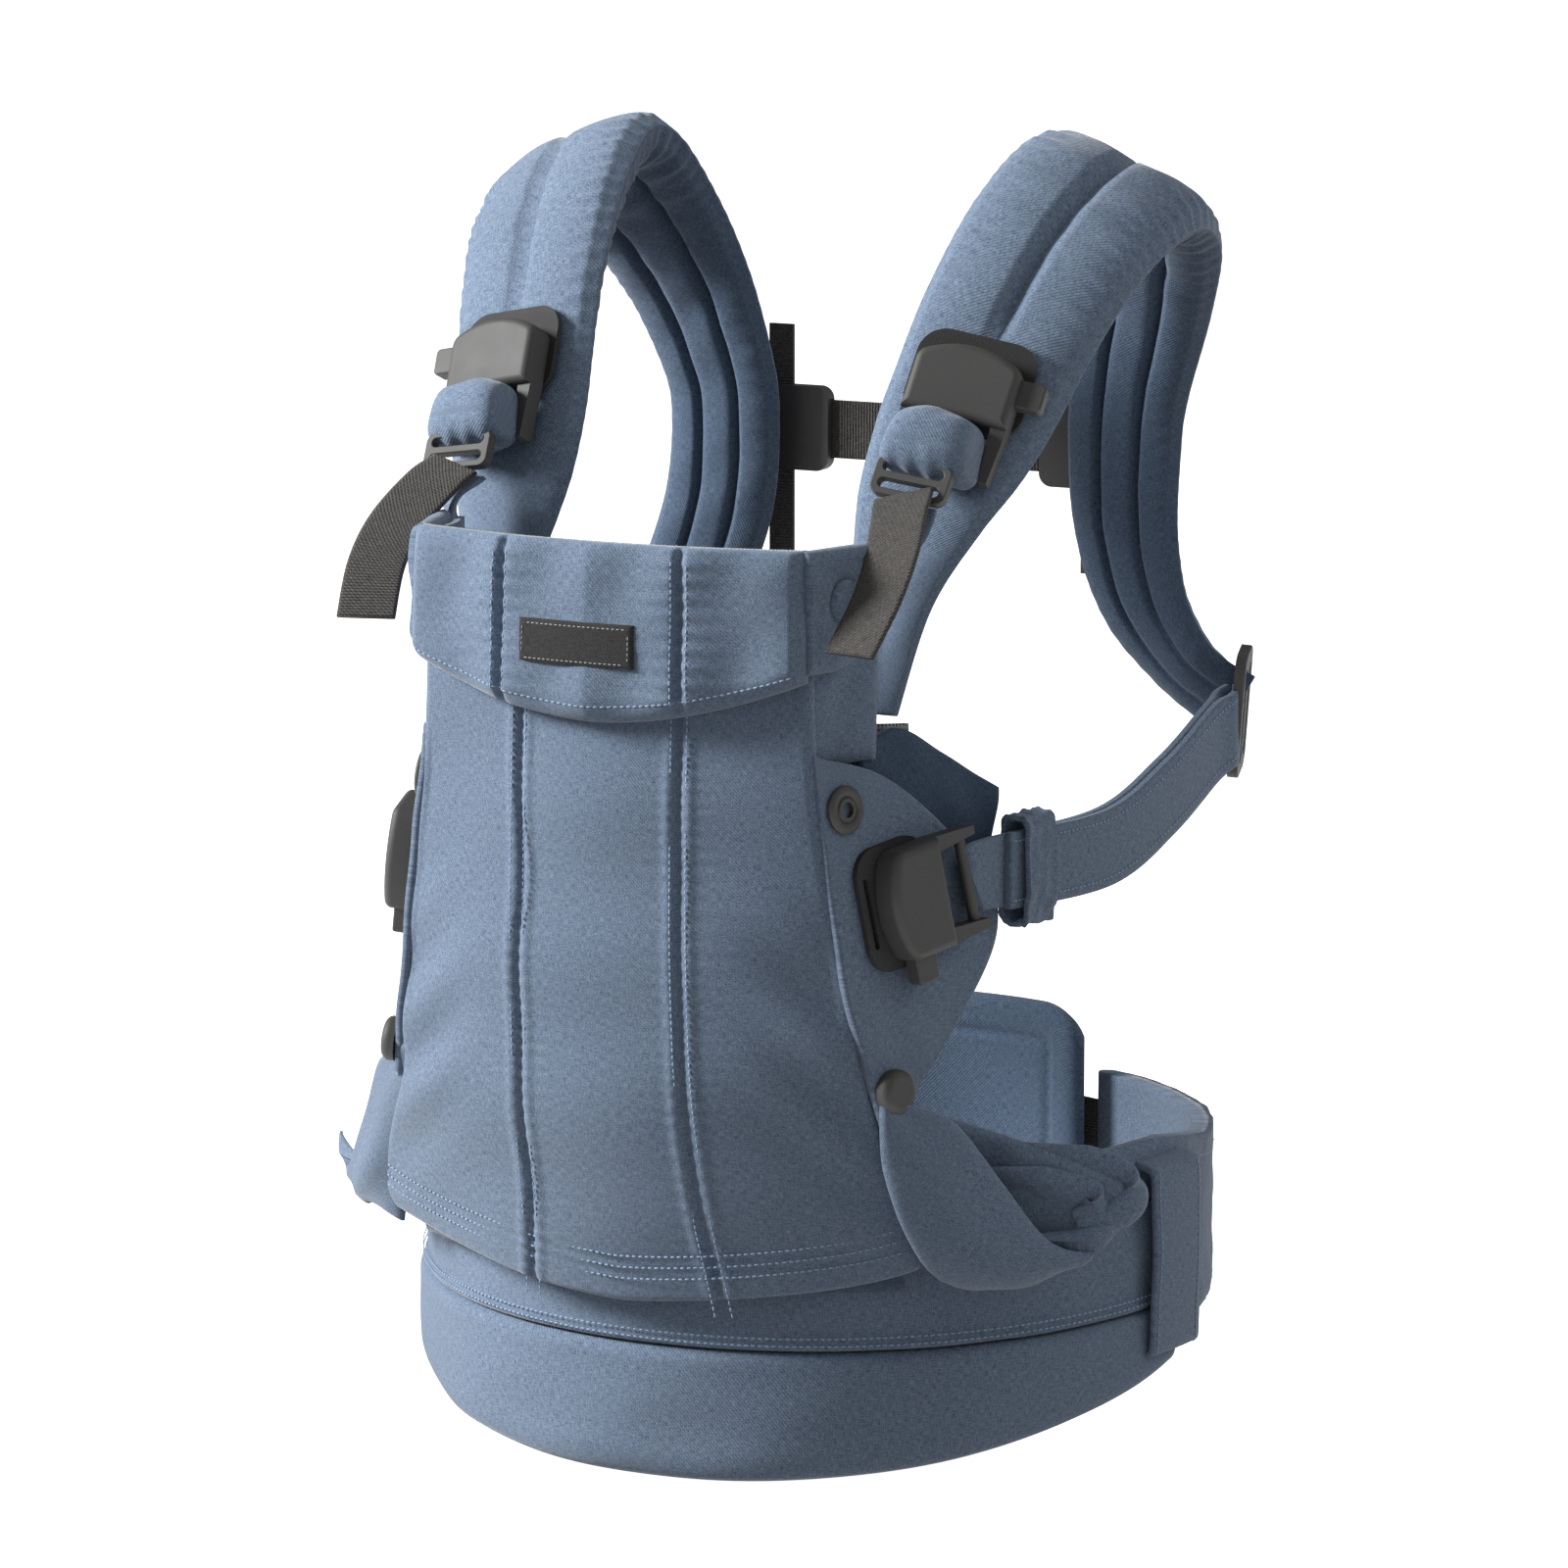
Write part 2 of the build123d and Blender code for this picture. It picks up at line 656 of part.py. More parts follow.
def shoulder_pad():
    """The padded strap, from behind the panel's side, over the shoulder, to the slider at the hip."""
    points = [Vector(*middle) for middle, _, _, _ in SHOULDER_STATIONS]
    widths = [width for _, width, _, _ in SHOULDER_STATIONS]
    depths = [depth for _, _, depth, _ in SHOULDER_STATIONS]
    across = [Vector(*outward) for _, _, _, outward in SHOULDER_STATIONS]
    return strap(points, widths, depths, across, padded=True)


def back_rail():
    """The webbing rail down the back of the padded strap, which the back strap slides along."""
    with BuildPart() as rail:
        with Locations((RAIL_X, BACK_STRAP_Y, BACK_STRAP_LEVEL - 5)):
            Box(RAIL_WIDTH, WEBBING, 104)
        for end in (-1, 1):
            with Locations((RAIL_X + 6, BACK_STRAP_Y - 3.4, BACK_STRAP_LEVEL - 5 + end * 50)):
                Box(RAIL_WIDTH, 4.8, 4)
    return rail.part


def back_slider():
    """The moulded slider at one end of the back strap. The rail and the strap pass through it."""
    with BuildPart() as slider:
        back = (RAIL_X - 9, BACK_STRAP_Y + 4.2, BACK_STRAP_LEVEL)
        with BuildSketch(Plane(origin=back, x_dir=(1, 0, 0), z_dir=(0, -1, 0))):
            RectangleRounded(SLIDER_WIDTH, BACK_STRAP_WIDTH + 12, 6)
        extrude(amount=8.4)
        fillet(slider.faces().sort_by(Axis.Y)[-1].edges(), 2)
        with Locations((RAIL_X, BACK_STRAP_Y, BACK_STRAP_LEVEL)):
            Box(RAIL_WIDTH + 1.2, WEBBING + 0.8, 60, mode=Mode.SUBTRACT)
        with Locations((RAIL_X - 24, BACK_STRAP_Y, BACK_STRAP_LEVEL)):
            Box(24, WEBBING + 0.8, BACK_STRAP_WIDTH + 1, mode=Mode.SUBTRACT)
    return slider.part


def back_strap():
    """The webbing between the two sliders."""
    with BuildPart() as webbing:
        with Locations((0, BACK_STRAP_Y, BACK_STRAP_LEVEL)):
            Box(2 * (RAIL_X - 14), WEBBING, BACK_STRAP_WIDTH)
    return webbing.part


save_pair(shoulder_pad(), "shoulder_pad")
save_group(back_rail(), "back_rails")
save_group(back_slider(), "back_sliders")
save(back_strap(), "back_strap")


# ---------------------------------------------------------------- strap ends at the front of the shoulder

LOOP_MIDDLE_Y = -32.0
LOOP_MIDDLE_Z = 11.5
LOOP_DEPTH = 33.0
LOOP_HEIGHT = 15.0
LOOP_TURN = 95.0
LADDER_WIDTH = 33.0
LADDER_LENGTH = 17.0


def padded_loop():
    """The padded fabric loop round the shoulder buckle's bar."""
    face = shoulder_plane.offset(2.4 + FIT + ARM_HEIGHT / 2)
    with BuildPart() as loop:
        start = face.from_local_coords(Vector(-15, 0, 0))
        with BuildSketch(Plane(origin=start, x_dir=face.y_dir, z_dir=face.x_dir)):
            with Locations((LOOP_MIDDLE_Y, LOOP_MIDDLE_Z)):
                SlotOverall(LOOP_DEPTH, LOOP_HEIGHT, rotation=LOOP_TURN)
            with Locations((BAR_Y, 0)):
                Circle(2.9, mode=Mode.SUBTRACT)
        extrude(amount=30)
    return loop.part


ladder_plane = Plane(
    origin=shoulder_plane.from_local_coords(Vector(-4, -50.5, 25)),
    x_dir=shoulder_plane.x_dir,
    z_dir=Vector(0.15, -0.85, 0.5),
)


def ladder_lock():
    """The webbing adjuster under the loop: a curved frame with a tail slot and a fixed bar."""
    with BuildPart() as frame:
        with BuildSketch(ladder_plane):
            RectangleRounded(LADDER_WIDTH, LADDER_LENGTH, 4)
            with Locations((0, 4.1), (0, -3.4)):
                SlotOverall(TAIL_WIDTH + 1.5, 4.2, mode=Mode.SUBTRACT)
        extrude(amount=4.5)
        fillet(outermost(frame.faces(), ladder_plane).edges(), 0.6)
    return frame.part


def adjuster_tail():
    """The loose webbing end, which lies over the flap's corner and hangs in front of it."""
    points = [
        Vector(104.5, -141, 331),
        Vector(112, -160, 324),
        Vector(117, -180, 307),
        Vector(117, -195, 290),
        Vector(114, -203, 276),
    ]
    return strap(points, [TAIL_WIDTH] * 5, [WEBBING] * 5, [Vector(0.97, -0.25, 0)] * 5)


def anchor_strap():
    """The fabric tab from the ladder lock down to the panel's upper corner."""
    points = [Vector(105, -133, 326), Vector(105, -139, 318), Vector(103, -143, 309), Vector(101, -143, 297)]
    across = [Vector(1, 0.1, 0), Vector(0.75, 0.65, 0), Vector(0.3, 0.95, 0), Vector(0.3, 0.95, 0)]
    return strap(points, [24, 21, 18, 18], [2.5] * 4, across)


save_group(padded_loop(), "padded_loops")
save_pair(ladder_lock(), "ladder_lock")
save_pair(adjuster_tail(), "adjuster_tail")
save_group(anchor_strap(), "anchor_straps")


# ---------------------------------------------------------------- side straps

STRAP_START = side_buckle_plane.from_local_coords(Vector(0, BAR_Y - 4.5, 2.4 + FIT + BAR_Z))
STRAP_BEND = Vector(145, -30, 172)
STRAP_MIDDLE = Vector(150, 22, 186)
STRAP_END = Vector(151, 79, 205)
hip_plane = Plane(origin=(152.5, 99, 211), x_dir=(0.1, -0.1, 1), z_dir=(0.95, 0.3, -0.08))


def side_strap():
    """The fabric-covered strap from the side buckle back to the slider."""
    points = [STRAP_START, STRAP_BEND, STRAP_MIDDLE, STRAP_END]
    return strap(points, [30, SIDE_STRAP_WIDTH, SIDE_STRAP_WIDTH, 32], [3] * 4, [Vector(0, 0, 1)] * 4)


def strap_return():
    """The strap's free end, folded back from the slider and tucked into the keeper."""
    offset = Vector(4.2, -0.8, 0)
    points = [
        STRAP_START * 0.8 + STRAP_BEND * 0.2 + offset,
        STRAP_BEND + offset,
        STRAP_MIDDLE + offset,
        STRAP_END + offset,
    ]
    return strap(points, [SIDE_STRAP_WIDTH] * 4, [3] * 4, [Vector(0, 0, 1)] * 4)


def strap_keeper():
    """The gathered elastic loop round both layers of the side strap."""
    along = (STRAP_BEND - STRAP_START).normalized()
    middle = STRAP_START + along * 36 + Vector(2.7, -0.5, -1)
    with BuildPart() as loop:
        with BuildSketch(Plane(origin=middle - along * 10, x_dir=Vector(0, 0, 1), z_dir=along)):
            RectangleRounded(46, 15.5, 6)
            RectangleRounded(39, 11, 3, mode=Mode.SUBTRACT)
        extrude(amount=20)
    return loop.part


def hip_slider():
    """The three-bar slider that joins the side strap to the end of the shoulder strap."""
    with BuildPart() as frame:
        with BuildSketch(hip_plane):
            RectangleRounded(56, 30, 8)
            with Locations((0, 6.5), (0, -6.5)):
                SlotOverall(42, 7.5, mode=Mode.SUBTRACT)
        extrude(amount=2.4, both=True)
        fillet(outermost(frame.faces(), hip_plane).edges(), 0.8)
    return frame.part


save_pair(side_strap(), "side_strap")
save_group(strap_return(), "strap_returns")
save_pair(strap_keeper(), "strap_keeper")
save_pair(hip_slider(), "hip_slider")
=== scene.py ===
import math

import bmesh
import bpy
import numpy as np
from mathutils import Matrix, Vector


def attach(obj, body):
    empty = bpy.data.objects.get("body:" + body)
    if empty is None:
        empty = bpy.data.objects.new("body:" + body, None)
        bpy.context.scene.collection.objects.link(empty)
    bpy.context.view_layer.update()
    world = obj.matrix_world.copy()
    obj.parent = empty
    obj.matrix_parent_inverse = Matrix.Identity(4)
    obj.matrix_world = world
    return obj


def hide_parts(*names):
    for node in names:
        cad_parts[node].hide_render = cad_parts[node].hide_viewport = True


# A soft baby carrier in the shape it has when worn. Lengths are written in millimetres and become
# metres where a mesh is made. Z is up, the front panel faces -Y, and +X is the wearer's left.
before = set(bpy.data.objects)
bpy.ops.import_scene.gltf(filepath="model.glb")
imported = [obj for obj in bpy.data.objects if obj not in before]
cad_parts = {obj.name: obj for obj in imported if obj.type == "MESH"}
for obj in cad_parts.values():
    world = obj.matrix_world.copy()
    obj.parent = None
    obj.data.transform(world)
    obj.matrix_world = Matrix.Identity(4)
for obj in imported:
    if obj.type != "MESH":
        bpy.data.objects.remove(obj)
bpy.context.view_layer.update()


# ---------------------------------------------------------------- waist belt
# Two padded halves of blue twill round the wearer, sewn together at the front. Each is a foam strip
# in a twill cover, turned and stitched at its edges, with a fabric keeper loop near the side.


# Each side's name, its sign along x, and what mirrors a point to it.
SIDES = [("left", 1, np.array([1, 1, 1])), ("right", -1, np.array([-1, 1, 1]))]


def grid(rows, columns):
    """Shares from 0 to 1 down the rows and along the columns of a surface."""
    return np.linspace(0, 1, rows)[:, None], np.linspace(0, 1, columns)[None, :]


def linear(code):
    """A colour written as six hex digits, as linear RGBA."""
    rgb = np.array([int(code[i:i + 2], 16) for i in (0, 2, 4)]) / 255.0
    rgb = np.where(rgb <= 0.04045, rgb / 12.92, ((rgb + 0.055) / 1.055) ** 2.4)
    return (*rgb.tolist(), 1.0)


def shader(tree, kind, inputs=None, **settings):
    """Add one shader node, with its settings, and its inputs as values or as links from sockets."""
    made = tree.nodes.new("ShaderNode" + kind)
    for key, value in settings.items():
        setattr(made, key, value)
    for key, value in (inputs or {}).items():
        if isinstance(value, bpy.types.NodeSocket):
            tree.links.new(value, made.inputs[key])
        else:
            made.inputs[key].default_value = value
    return made


def woven(name, dark, light, thread, rib=0.0, relief=0.35, sheen=0.25):
    """Woven cloth on the piece's own UV map, in metres. thread is the pitch of its yarns in metres.
    Short streaks along both yarns mix the dark and the light yarn. rib above 0 adds ribs across."""
    material = bpy.data.materials.new(name)
    material.use_nodes = True
    tree = material.node_tree
    tree.nodes.clear()
    place = shader(tree, "UVMap").outputs["UV"]
    warp = shader(tree, "VectorMath", {0: place, 1: (1.0 / thread, 0.14 / thread, 1.0)}, operation="MULTIPLY")
    weft = shader(tree, "VectorMath", {0: place, 1: (0.14 / thread, 1.0 / thread, 1.0)}, operation="MULTIPLY")
    warp_yarn = shader(tree, "TexNoise", {"Vector": warp.outputs[0], "Scale": 1.0, "Detail": 1.0})
    weft_yarn = shader(tree, "TexNoise", {"Vector": weft.outputs[0], "Scale": 1.0, "Detail": 1.0})
    mixed = shader(tree, "Math", {0: warp_yarn.outputs["Fac"], 1: weft_yarn.outputs["Fac"]}, operation="ADD")
    half = shader(tree, "Math", {0: mixed.outputs[0], 1: 0.5}, operation="MULTIPLY")
    ramp = shader(tree, "ValToRGB", {"Fac": half.outputs[0]})
    ramp.color_ramp.elements[0].position = 0.34
    ramp.color_ramp.elements[0].color = linear(dark)
    ramp.color_ramp.elements[1].position = 0.66
    ramp.color_ramp.elements[1].color = linear(light)
    where = shader(tree, "TexCoord").outputs["Object"]
    wear = shader(tree, "TexNoise", {"Vector": where, "Scale": 14.0, "Detail": 3.0})
    shade = shader(tree, "MapRange", {"Value": wear.outputs["Fac"], "To Min": 0.93, "To Max": 1.07})
    tone = shader(tree, "VectorMath", {0: ramp.outputs["Color"], 3: shade.outputs[0]}, operation="SCALE")
    diagonal = shader(tree, "VectorMath", {0: place, 1: (0.5 / thread, 0.5 / thread, 1.0)},
                      operation="MULTIPLY")
    twill = shader(tree, "TexWave", {"Vector": diagonal.outputs[0], "Scale": 0.32, "Distortion": 1.0},
                   wave_type="BANDS", bands_direction="DIAGONAL")
    height = shader(tree, "Math", {0: twill.outputs["Fac"], 1: half.outputs[0]}, operation="ADD")
    if rib > 0:
        across = shader(tree, "VectorMath", {0: place, 1: (0.0, 1.0 / rib, 0.0)}, operation="MULTIPLY")
        ribs = shader(tree, "TexWave", {"Vector": across.outputs[0], "Scale": 0.314}, bands_direction="Y")
        lifted = shader(tree, "Math", {0: ribs.outputs["Fac"], 1: 2.0}, operation="MULTIPLY")
        height = shader(tree, "Math", {0: height.outputs[0], 1: lifted.outputs[0]}, operation="ADD")
    bump = shader(tree, "Bump", {"Height": height.outputs[0], "Strength": relief, "Distance": 0.0003})
    surface = shader(tree, "BsdfPrincipled", {
        "Base Color": tone.outputs[0],
        "Roughness": 0.88,
        "Specular IOR Level": 0.25,
        "Sheen Weight": sheen,
        "Sheen Roughness": 0.4,
        "Normal": bump.outputs[0],
    })
    shader(tree, "OutputMaterial", {"Surface": surface.outputs[0]})
    return material


def through(rows, count):
    """A smooth curve through the rows, count points of it: the Catmull-Rom cubic between each two rows."""
    rows = np.asarray(rows, float)
    place = np.linspace(0, len(rows) - 1, count)
    index = np.clip(place.astype(int), 0, len(rows) - 2)
    f = (place - index)[:, None]
    a = rows[np.maximum(index - 1, 0)]
    b = rows[index]
    c = rows[index + 1]
    d = rows[np.minimum(index + 2, len(rows) - 1)]
    return 0.5 * (2 * b + (c - a) * f + (2 * a - 5 * b + 4 * c - d) * f ** 2
                  + (3 * b - a - 3 * c + d) * f ** 3)


def waves(u, v, shortest, longest, seed, count=9):
    """Soft folds between about -1 and 1: the mean of some sine waves of u and v with seeded directions."""
    chance = np.random.default_rng(seed)
    total = np.zeros(np.broadcast(u, v).shape)
    for length in np.geomspace(shortest, longest, count):
        turn, phase = chance.uniform(0, 2 * math.pi, 2)
        total = total + np.sin((u * math.cos(turn) + v * math.sin(turn)) * 2 * math.pi / length + phase)
    return total / math.sqrt(count)


def normals(grid):
    """Unit normals of a grid of points: the cross product of its two directions."""
    square = np.cross(np.gradient(grid, axis=0), np.gradient(grid, axis=1))
    return square / np.maximum(np.linalg.norm(square, axis=2, keepdims=True), 1e-9)


def lengths(grid):
    """Distance along each direction of a grid, averaged over the other, as two arrays on the grid."""
    du = np.linalg.norm(np.diff(grid, axis=0), axis=2).mean(axis=1)
    dv = np.linalg.norm(np.diff(grid, axis=1), axis=2).mean(axis=0)
    u = np.concatenate([[0], np.cumsum(du)])[:, None]
    v = np.concatenate([[0], np.cumsum(dv)])[None, :]
    return np.broadcast_to(u, grid.shape[:2]), np.broadcast_to(v, grid.shape[:2])


def piece(name, points, faces, uv, material, body, stands_for=()):
    """A finished mesh piece from points in mm, with smooth faces and outward normals."""
    mesh = bpy.data.meshes.new(name)
    mesh.from_pydata((np.asarray(points) * 0.001).tolist(), [], faces)
    work = bmesh.new()
    work.from_mesh(mesh)
    bmesh.ops.recalc_face_normals(work, faces=work.faces)
    work.to_mesh(mesh)
    work.free()
    corner = np.empty(len(mesh.loops), dtype=np.int32)
    mesh.loops.foreach_get("vertex_index", corner)
    layer = mesh.uv_layers.new(name="UVMap")
    layer.data.foreach_set("uv", (np.asarray(uv) * 0.001)[corner].ravel())
    mesh.polygons.foreach_set("use_smooth", np.ones(len(mesh.polygons), dtype=bool))
    mesh.materials.append(material)
    made = bpy.data.objects.new(name, mesh)
    bpy.context.scene.collection.objects.link(made)
    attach(made, body)
    if stands_for:
        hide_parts(*stands_for)
    return made


def slab(name, front, back, material, body="carrier", stands_for=()):
    """A closed sheet between two grids of points, joined round their rims."""
    nu, nv = front.shape[:2]
    index = np.arange(nu * nv).reshape(nu, nv)
    rear = index + nu * nv
    quads = np.stack([index[:-1, :-1], index[1:, :-1], index[1:, 1:], index[:-1, 1:]], -1).reshape(-1, 4)
    quads_rear = np.stack([rear[:-1, :-1], rear[:-1, 1:], rear[1:, 1:], rear[1:, :-1]], -1).reshape(-1, 4)
    rim = np.concatenate([index[:-1, 0], index[-1, :-1], index[:0:-1, -1], index[0, :0:-1]])
    after = np.roll(rim, -1)
    side = np.stack([rim, rim + nu * nv, after + nu * nv, after], -1)
    u, v = lengths(front)
    uv = np.stack([np.concatenate([u.ravel(), u.ravel()]), np.concatenate([v.ravel(), v.ravel()])], -1)
    points = np.concatenate([front.reshape(-1, 3), back.reshape(-1, 3)])
    faces = np.concatenate([quads, quads_rear, side]).tolist()
    return piece(name, points, faces, uv, material, body, stands_for)


def edge_round(u, v, width_u, width_v):
    """Thickness from 0.25 at a sheet's rim to 1 inside it: a quarter circle over the given widths."""
    a = np.clip(np.minimum(u, u.max() - u) / width_u, 0, 1) if width_u else 1.0
    b = np.clip(np.minimum(v, v.max() - v) / width_v, 0, 1) if width_v else 1.0
    return 0.25 + 0.75 * np.sqrt(1 - (1 - a) ** 2) * np.sqrt(1 - (1 - b) ** 2)


def ring_point(radius, angle, level):
    """Points about the Z axis. The angle is in degrees from the front (-Y) towards +X."""
    turn = np.radians(angle)
    return np.stack(np.broadcast_arrays(radius * np.sin(turn), -radius * np.cos(turn), level), -1)


def stitches(name, rows, material, body="carrier", pitch=2.9, width=0.8):
    """Rows of stitches. Each row is a line of points with a normal at each point. A stitch is a
    flattened six-sided grain, two thirds of the pitch long, sunk to half its height."""
    ring = np.arange(6) * math.pi / 3
    along = np.array([-0.34, -0.2, 0.2, 0.34])
    girth = np.array([0.35, 1.0, 1.0, 0.35])
    grain_x = np.repeat(along * pitch, 6)
    grain_y = (girth[:, None] * np.cos(ring) * width / 2).ravel()
    grain_z = (girth[:, None] * np.sin(ring) * width / 2 * 0.8).ravel()
    shell = [[6 * k + i, 6 * k + (i + 1) % 6, 6 * k + 6 + (i + 1) % 6, 6 * k + 6 + i]
             for k in range(3) for i in range(6)]
    quads = np.array(shell + [[0, 5, 4, 3], [0, 3, 2, 1], [18, 19, 20, 21], [18, 21, 22, 23]])
    points = []
    for line, square in rows:
        line = np.asarray(line, float)
        square = np.broadcast_to(np.asarray(square, float), line.shape)
        run = np.concatenate([[0], np.cumsum(np.linalg.norm(np.diff(line, axis=0), axis=1))])
        at = np.arange(pitch, run[-1] - pitch, pitch)
        if len(at) == 0:
            continue
        middle = np.stack([np.interp(at, run, line[:, k]) for k in range(3)], -1)
        up = np.stack([np.interp(at, run, square[:, k]) for k in range(3)], -1)
        up = up / np.linalg.norm(up, axis=1, keepdims=True)
        ahead = np.stack([np.interp(at + 0.5, run, line[:, k]) for k in range(3)], -1) - middle
        ahead = ahead / np.maximum(np.linalg.norm(ahead, axis=1, keepdims=True), 1e-9)
        side = np.cross(up, ahead)
        grain = (grain_x[None, :, None] * ahead[:, None] + grain_y[None, :, None] * side[:, None]
                 + grain_z[None, :, None] * up[:, None])
        points.append((middle[:, None] + grain).reshape(-1, 3))
    points = np.concatenate(points)
    count = len(points) // 24
    faces = (quads[None] + 24 * np.arange(count)[:, None, None]).reshape(-1, 4).tolist()
    return piece(name, points, faces, points[:, :2], material, body)


# Heathered twill: pale and mid blue yarns, at a yarn pitch of 0.4 mm.
twill = woven("blue_twill", "4C5F77", "8291A5", 0.00042, sheen=0.3)
# The same twill in a darker shade: painted shade, on the faces towards the wearer and on the lumbar pad.
painted_shade_twill = woven("blue_twill_painted_shade", "36475C", "5D6E84", 0.00042)
# Dark jersey of the linings.
jersey = woven("dark_blue_jersey", "2A3B50", "485A72", 0.0005)
# Spun polyester sewing thread.
thread = woven("pale_blue_thread", "7E96B4", "A5B8D0", 0.0004, relief=0.1)

BELT_ROWS = [(0.2, -42, 30), (30, -42, 32), (60, -42, 42), (74, -42, 46), (86, -42, 45), (96, -42, 40),
             (106, -42, 35), (130, -42, 33), (157, -42, 32)]


def belt_half(sign):
    """Half of the belt: a strip at a radius of 160 to 169.5, rounded at its edges, with soft dents."""
    angle = np.linspace(0.2, 157.5, 150)
    rows = np.array(BELT_ROWS)
    top = np.interp(angle, rows[:, 0], rows[:, 2])[:, None]
    share = np.linspace(0, 1, 26)[None, :]
    level = -42 + (top + 42) * share
    along = np.radians(angle)[:, None] * 165
    thick = 9.5 * edge_round(along + 0 * share, level - level.min(), 5, 7)
    soft = waves(along, level, 18, 90, 3) * 0.5 + waves(along * 2.2, level * 0.5, 10, 40, 5) * 0.3
    middle = 164.7
    outer = ring_point(middle + thick / 2 + soft * 0.8 * (thick / 9.5), angle[:, None], level)
    inner = ring_point(middle - thick / 2 - soft * 0.2, angle[:, None], level)
    flip = np.array([sign, 1, 1])
    return outer * flip, inner * flip


for side, sign, _ in SIDES:
    belt_outer, belt_inner = belt_half(sign)
    belt = slab(f"waist_belt_{side}", belt_outer, belt_inner, twill, stands_for=[f"waist_belt_{side}"])
    belt_normal = normals(belt_outer)
    rows = [(belt_outer[70:, k], belt_normal[70:, k] * sign * -1) for k in (3, 22)]
    stitches(f"waist_belt_stitches_{side}", rows, thread)

# The flat band that the panel hangs on, over the belt's front, with a doubled seam at its lower edge.
band_angle = np.linspace(-84, 84, 200)[:, None]
band_share = np.linspace(0, 1, 24)[None, :]
band_along = np.radians(band_angle) * 172
band_level = -27 + 47 * band_share + 3.5 * (np.abs(band_angle) / 84) ** 2 * (1 - band_share)
band_soft = waves(band_along, band_level, 22, 120, 8) * 0.45
band_near_end = np.clip((np.abs(band_angle) - 55) / 29, 0, 1)
band_soft = band_soft + band_near_end * 1.2 * np.sin(band_along / 5.5 + band_level / 14) * 0.35
band_roll = 1.2 * np.exp(-((band_share - 0.03) / 0.05) ** 2)
band_outer = ring_point(174.2 + band_soft + band_roll, band_angle, band_level)
band_inner = ring_point(170.8 + 0 * band_soft, band_angle, band_level)
band = slab("belt_band", band_outer, band_inner, twill, stands_for=["belt_band"])

# The stomach flap below the band: padded twill whose lower edge dips to the front in one curve.
flap_angle = np.linspace(-84, 84, 200)[:, None]
flap_share = np.linspace(0, 1, 30)[None, :]
flap_low = -85 + 39 * (np.abs(flap_angle) / 90) ** 2.1
flap_top = -28.5 + 3.5 * (np.abs(flap_angle) / 84) ** 2
flap_level = flap_low + (flap_top - flap_low) * flap_share
flap_along = np.radians(flap_angle) * 174
flap_round = 0.2 + 0.8 * np.sqrt(1 - (1 - np.clip(flap_share / 0.25, 0, 1)) ** 2)
flap_round = flap_round * (0.45 + 0.55 * np.sqrt(1 - (1 - np.clip((1 - flap_share) / 0.12, 0, 1)) ** 2))
flap_soft = waves(flap_along, flap_level, 30, 150, 12) * 0.5
flap_outer = ring_point(170.6 + 6.8 * flap_round + flap_soft, flap_angle, flap_level)
flap_inner = ring_point(170.4 - 1.2 * flap_round, flap_angle, flap_level)
flap = slab("stomach_flap", flap_outer, flap_inner, twill, stands_for=["stomach_flap"])
band_seam = [(ring_point(176.2 + 0 * band_angle[:, 0], band_angle[:, 0], band_level[:, 0] + rise),
              ring_point(1.0 + 0 * band_angle[:, 0], band_angle[:, 0],
                         0 * band_angle[:, 0])) for rise in (2.2, 5.4)]
stitches("belt_band_stitches", band_seam, thread)


def keeper_loop(sign):
    """The keeper: a flat loop round belt and band, between radii 157 and 182, 12 degrees wide."""
    turn = np.linspace(0, 1, 60)
    corner = through([(157.2, -44), (157.4, 0), (157.6, 34), (163, 38), (176, 37.5), (181, 32), (181.6, 0),
                      (181.4, -38), (178, -45), (166, -46.5), (158.5, -46), (157.2, -44)], 60)
    angle = np.linspace(77, 89, 12)
    bend = (0.35 * np.sin(turn * 2 * math.pi)[:, None]
            + 0.3 * waves(turn[:, None] * 200, angle[None, :], 20, 60, 4))
    outer = ring_point(corner[:, None, 0] + 0.5 * bend, angle[None, :] + 0.6 * bend, corner[:, None, 1])
    inward = (corner - np.array([169.5, -4])) * np.array([0.16, 0.045])
    inner = ring_point((corner - inward)[:, None, 0], angle[None, :] + 0.6 * bend,
                       (corner - inward)[:, None, 1])
    return outer * np.array([sign, 1, 1]), inner * np.array([sign, 1, 1])


for side, sign, _ in SIDES:
    loop_outer, loop_inner = keeper_loop(sign)
    body = f"belt_keeper_{side}"
    slab(body, loop_outer, loop_inner, twill, body=body, stands_for=[body])
    rows = [(loop_outer[24:44, k] * np.array([1.0015, 1.0015, 1]), loop_outer[24:44, k] * np.array([1, 1, 0]))
            for k in (1, 10)]
    stitches(f"{body}_stitches", rows, thread, body=body)


# ---------------------------------------------------------------- back of the belt
# Webbing, a side-press buckle with a round button, and the lumbar pad: foam in twill with a sewn
# rectangle, hung on the webbing by two loops.

# Polyester webbing: dark warm grey, ribbed across every 1.4 mm.
webbing = woven("ribbed_webbing", "3B3937", "5C5956", 0.0005, rib=0.0014, relief=0.8, sheen=0.05)


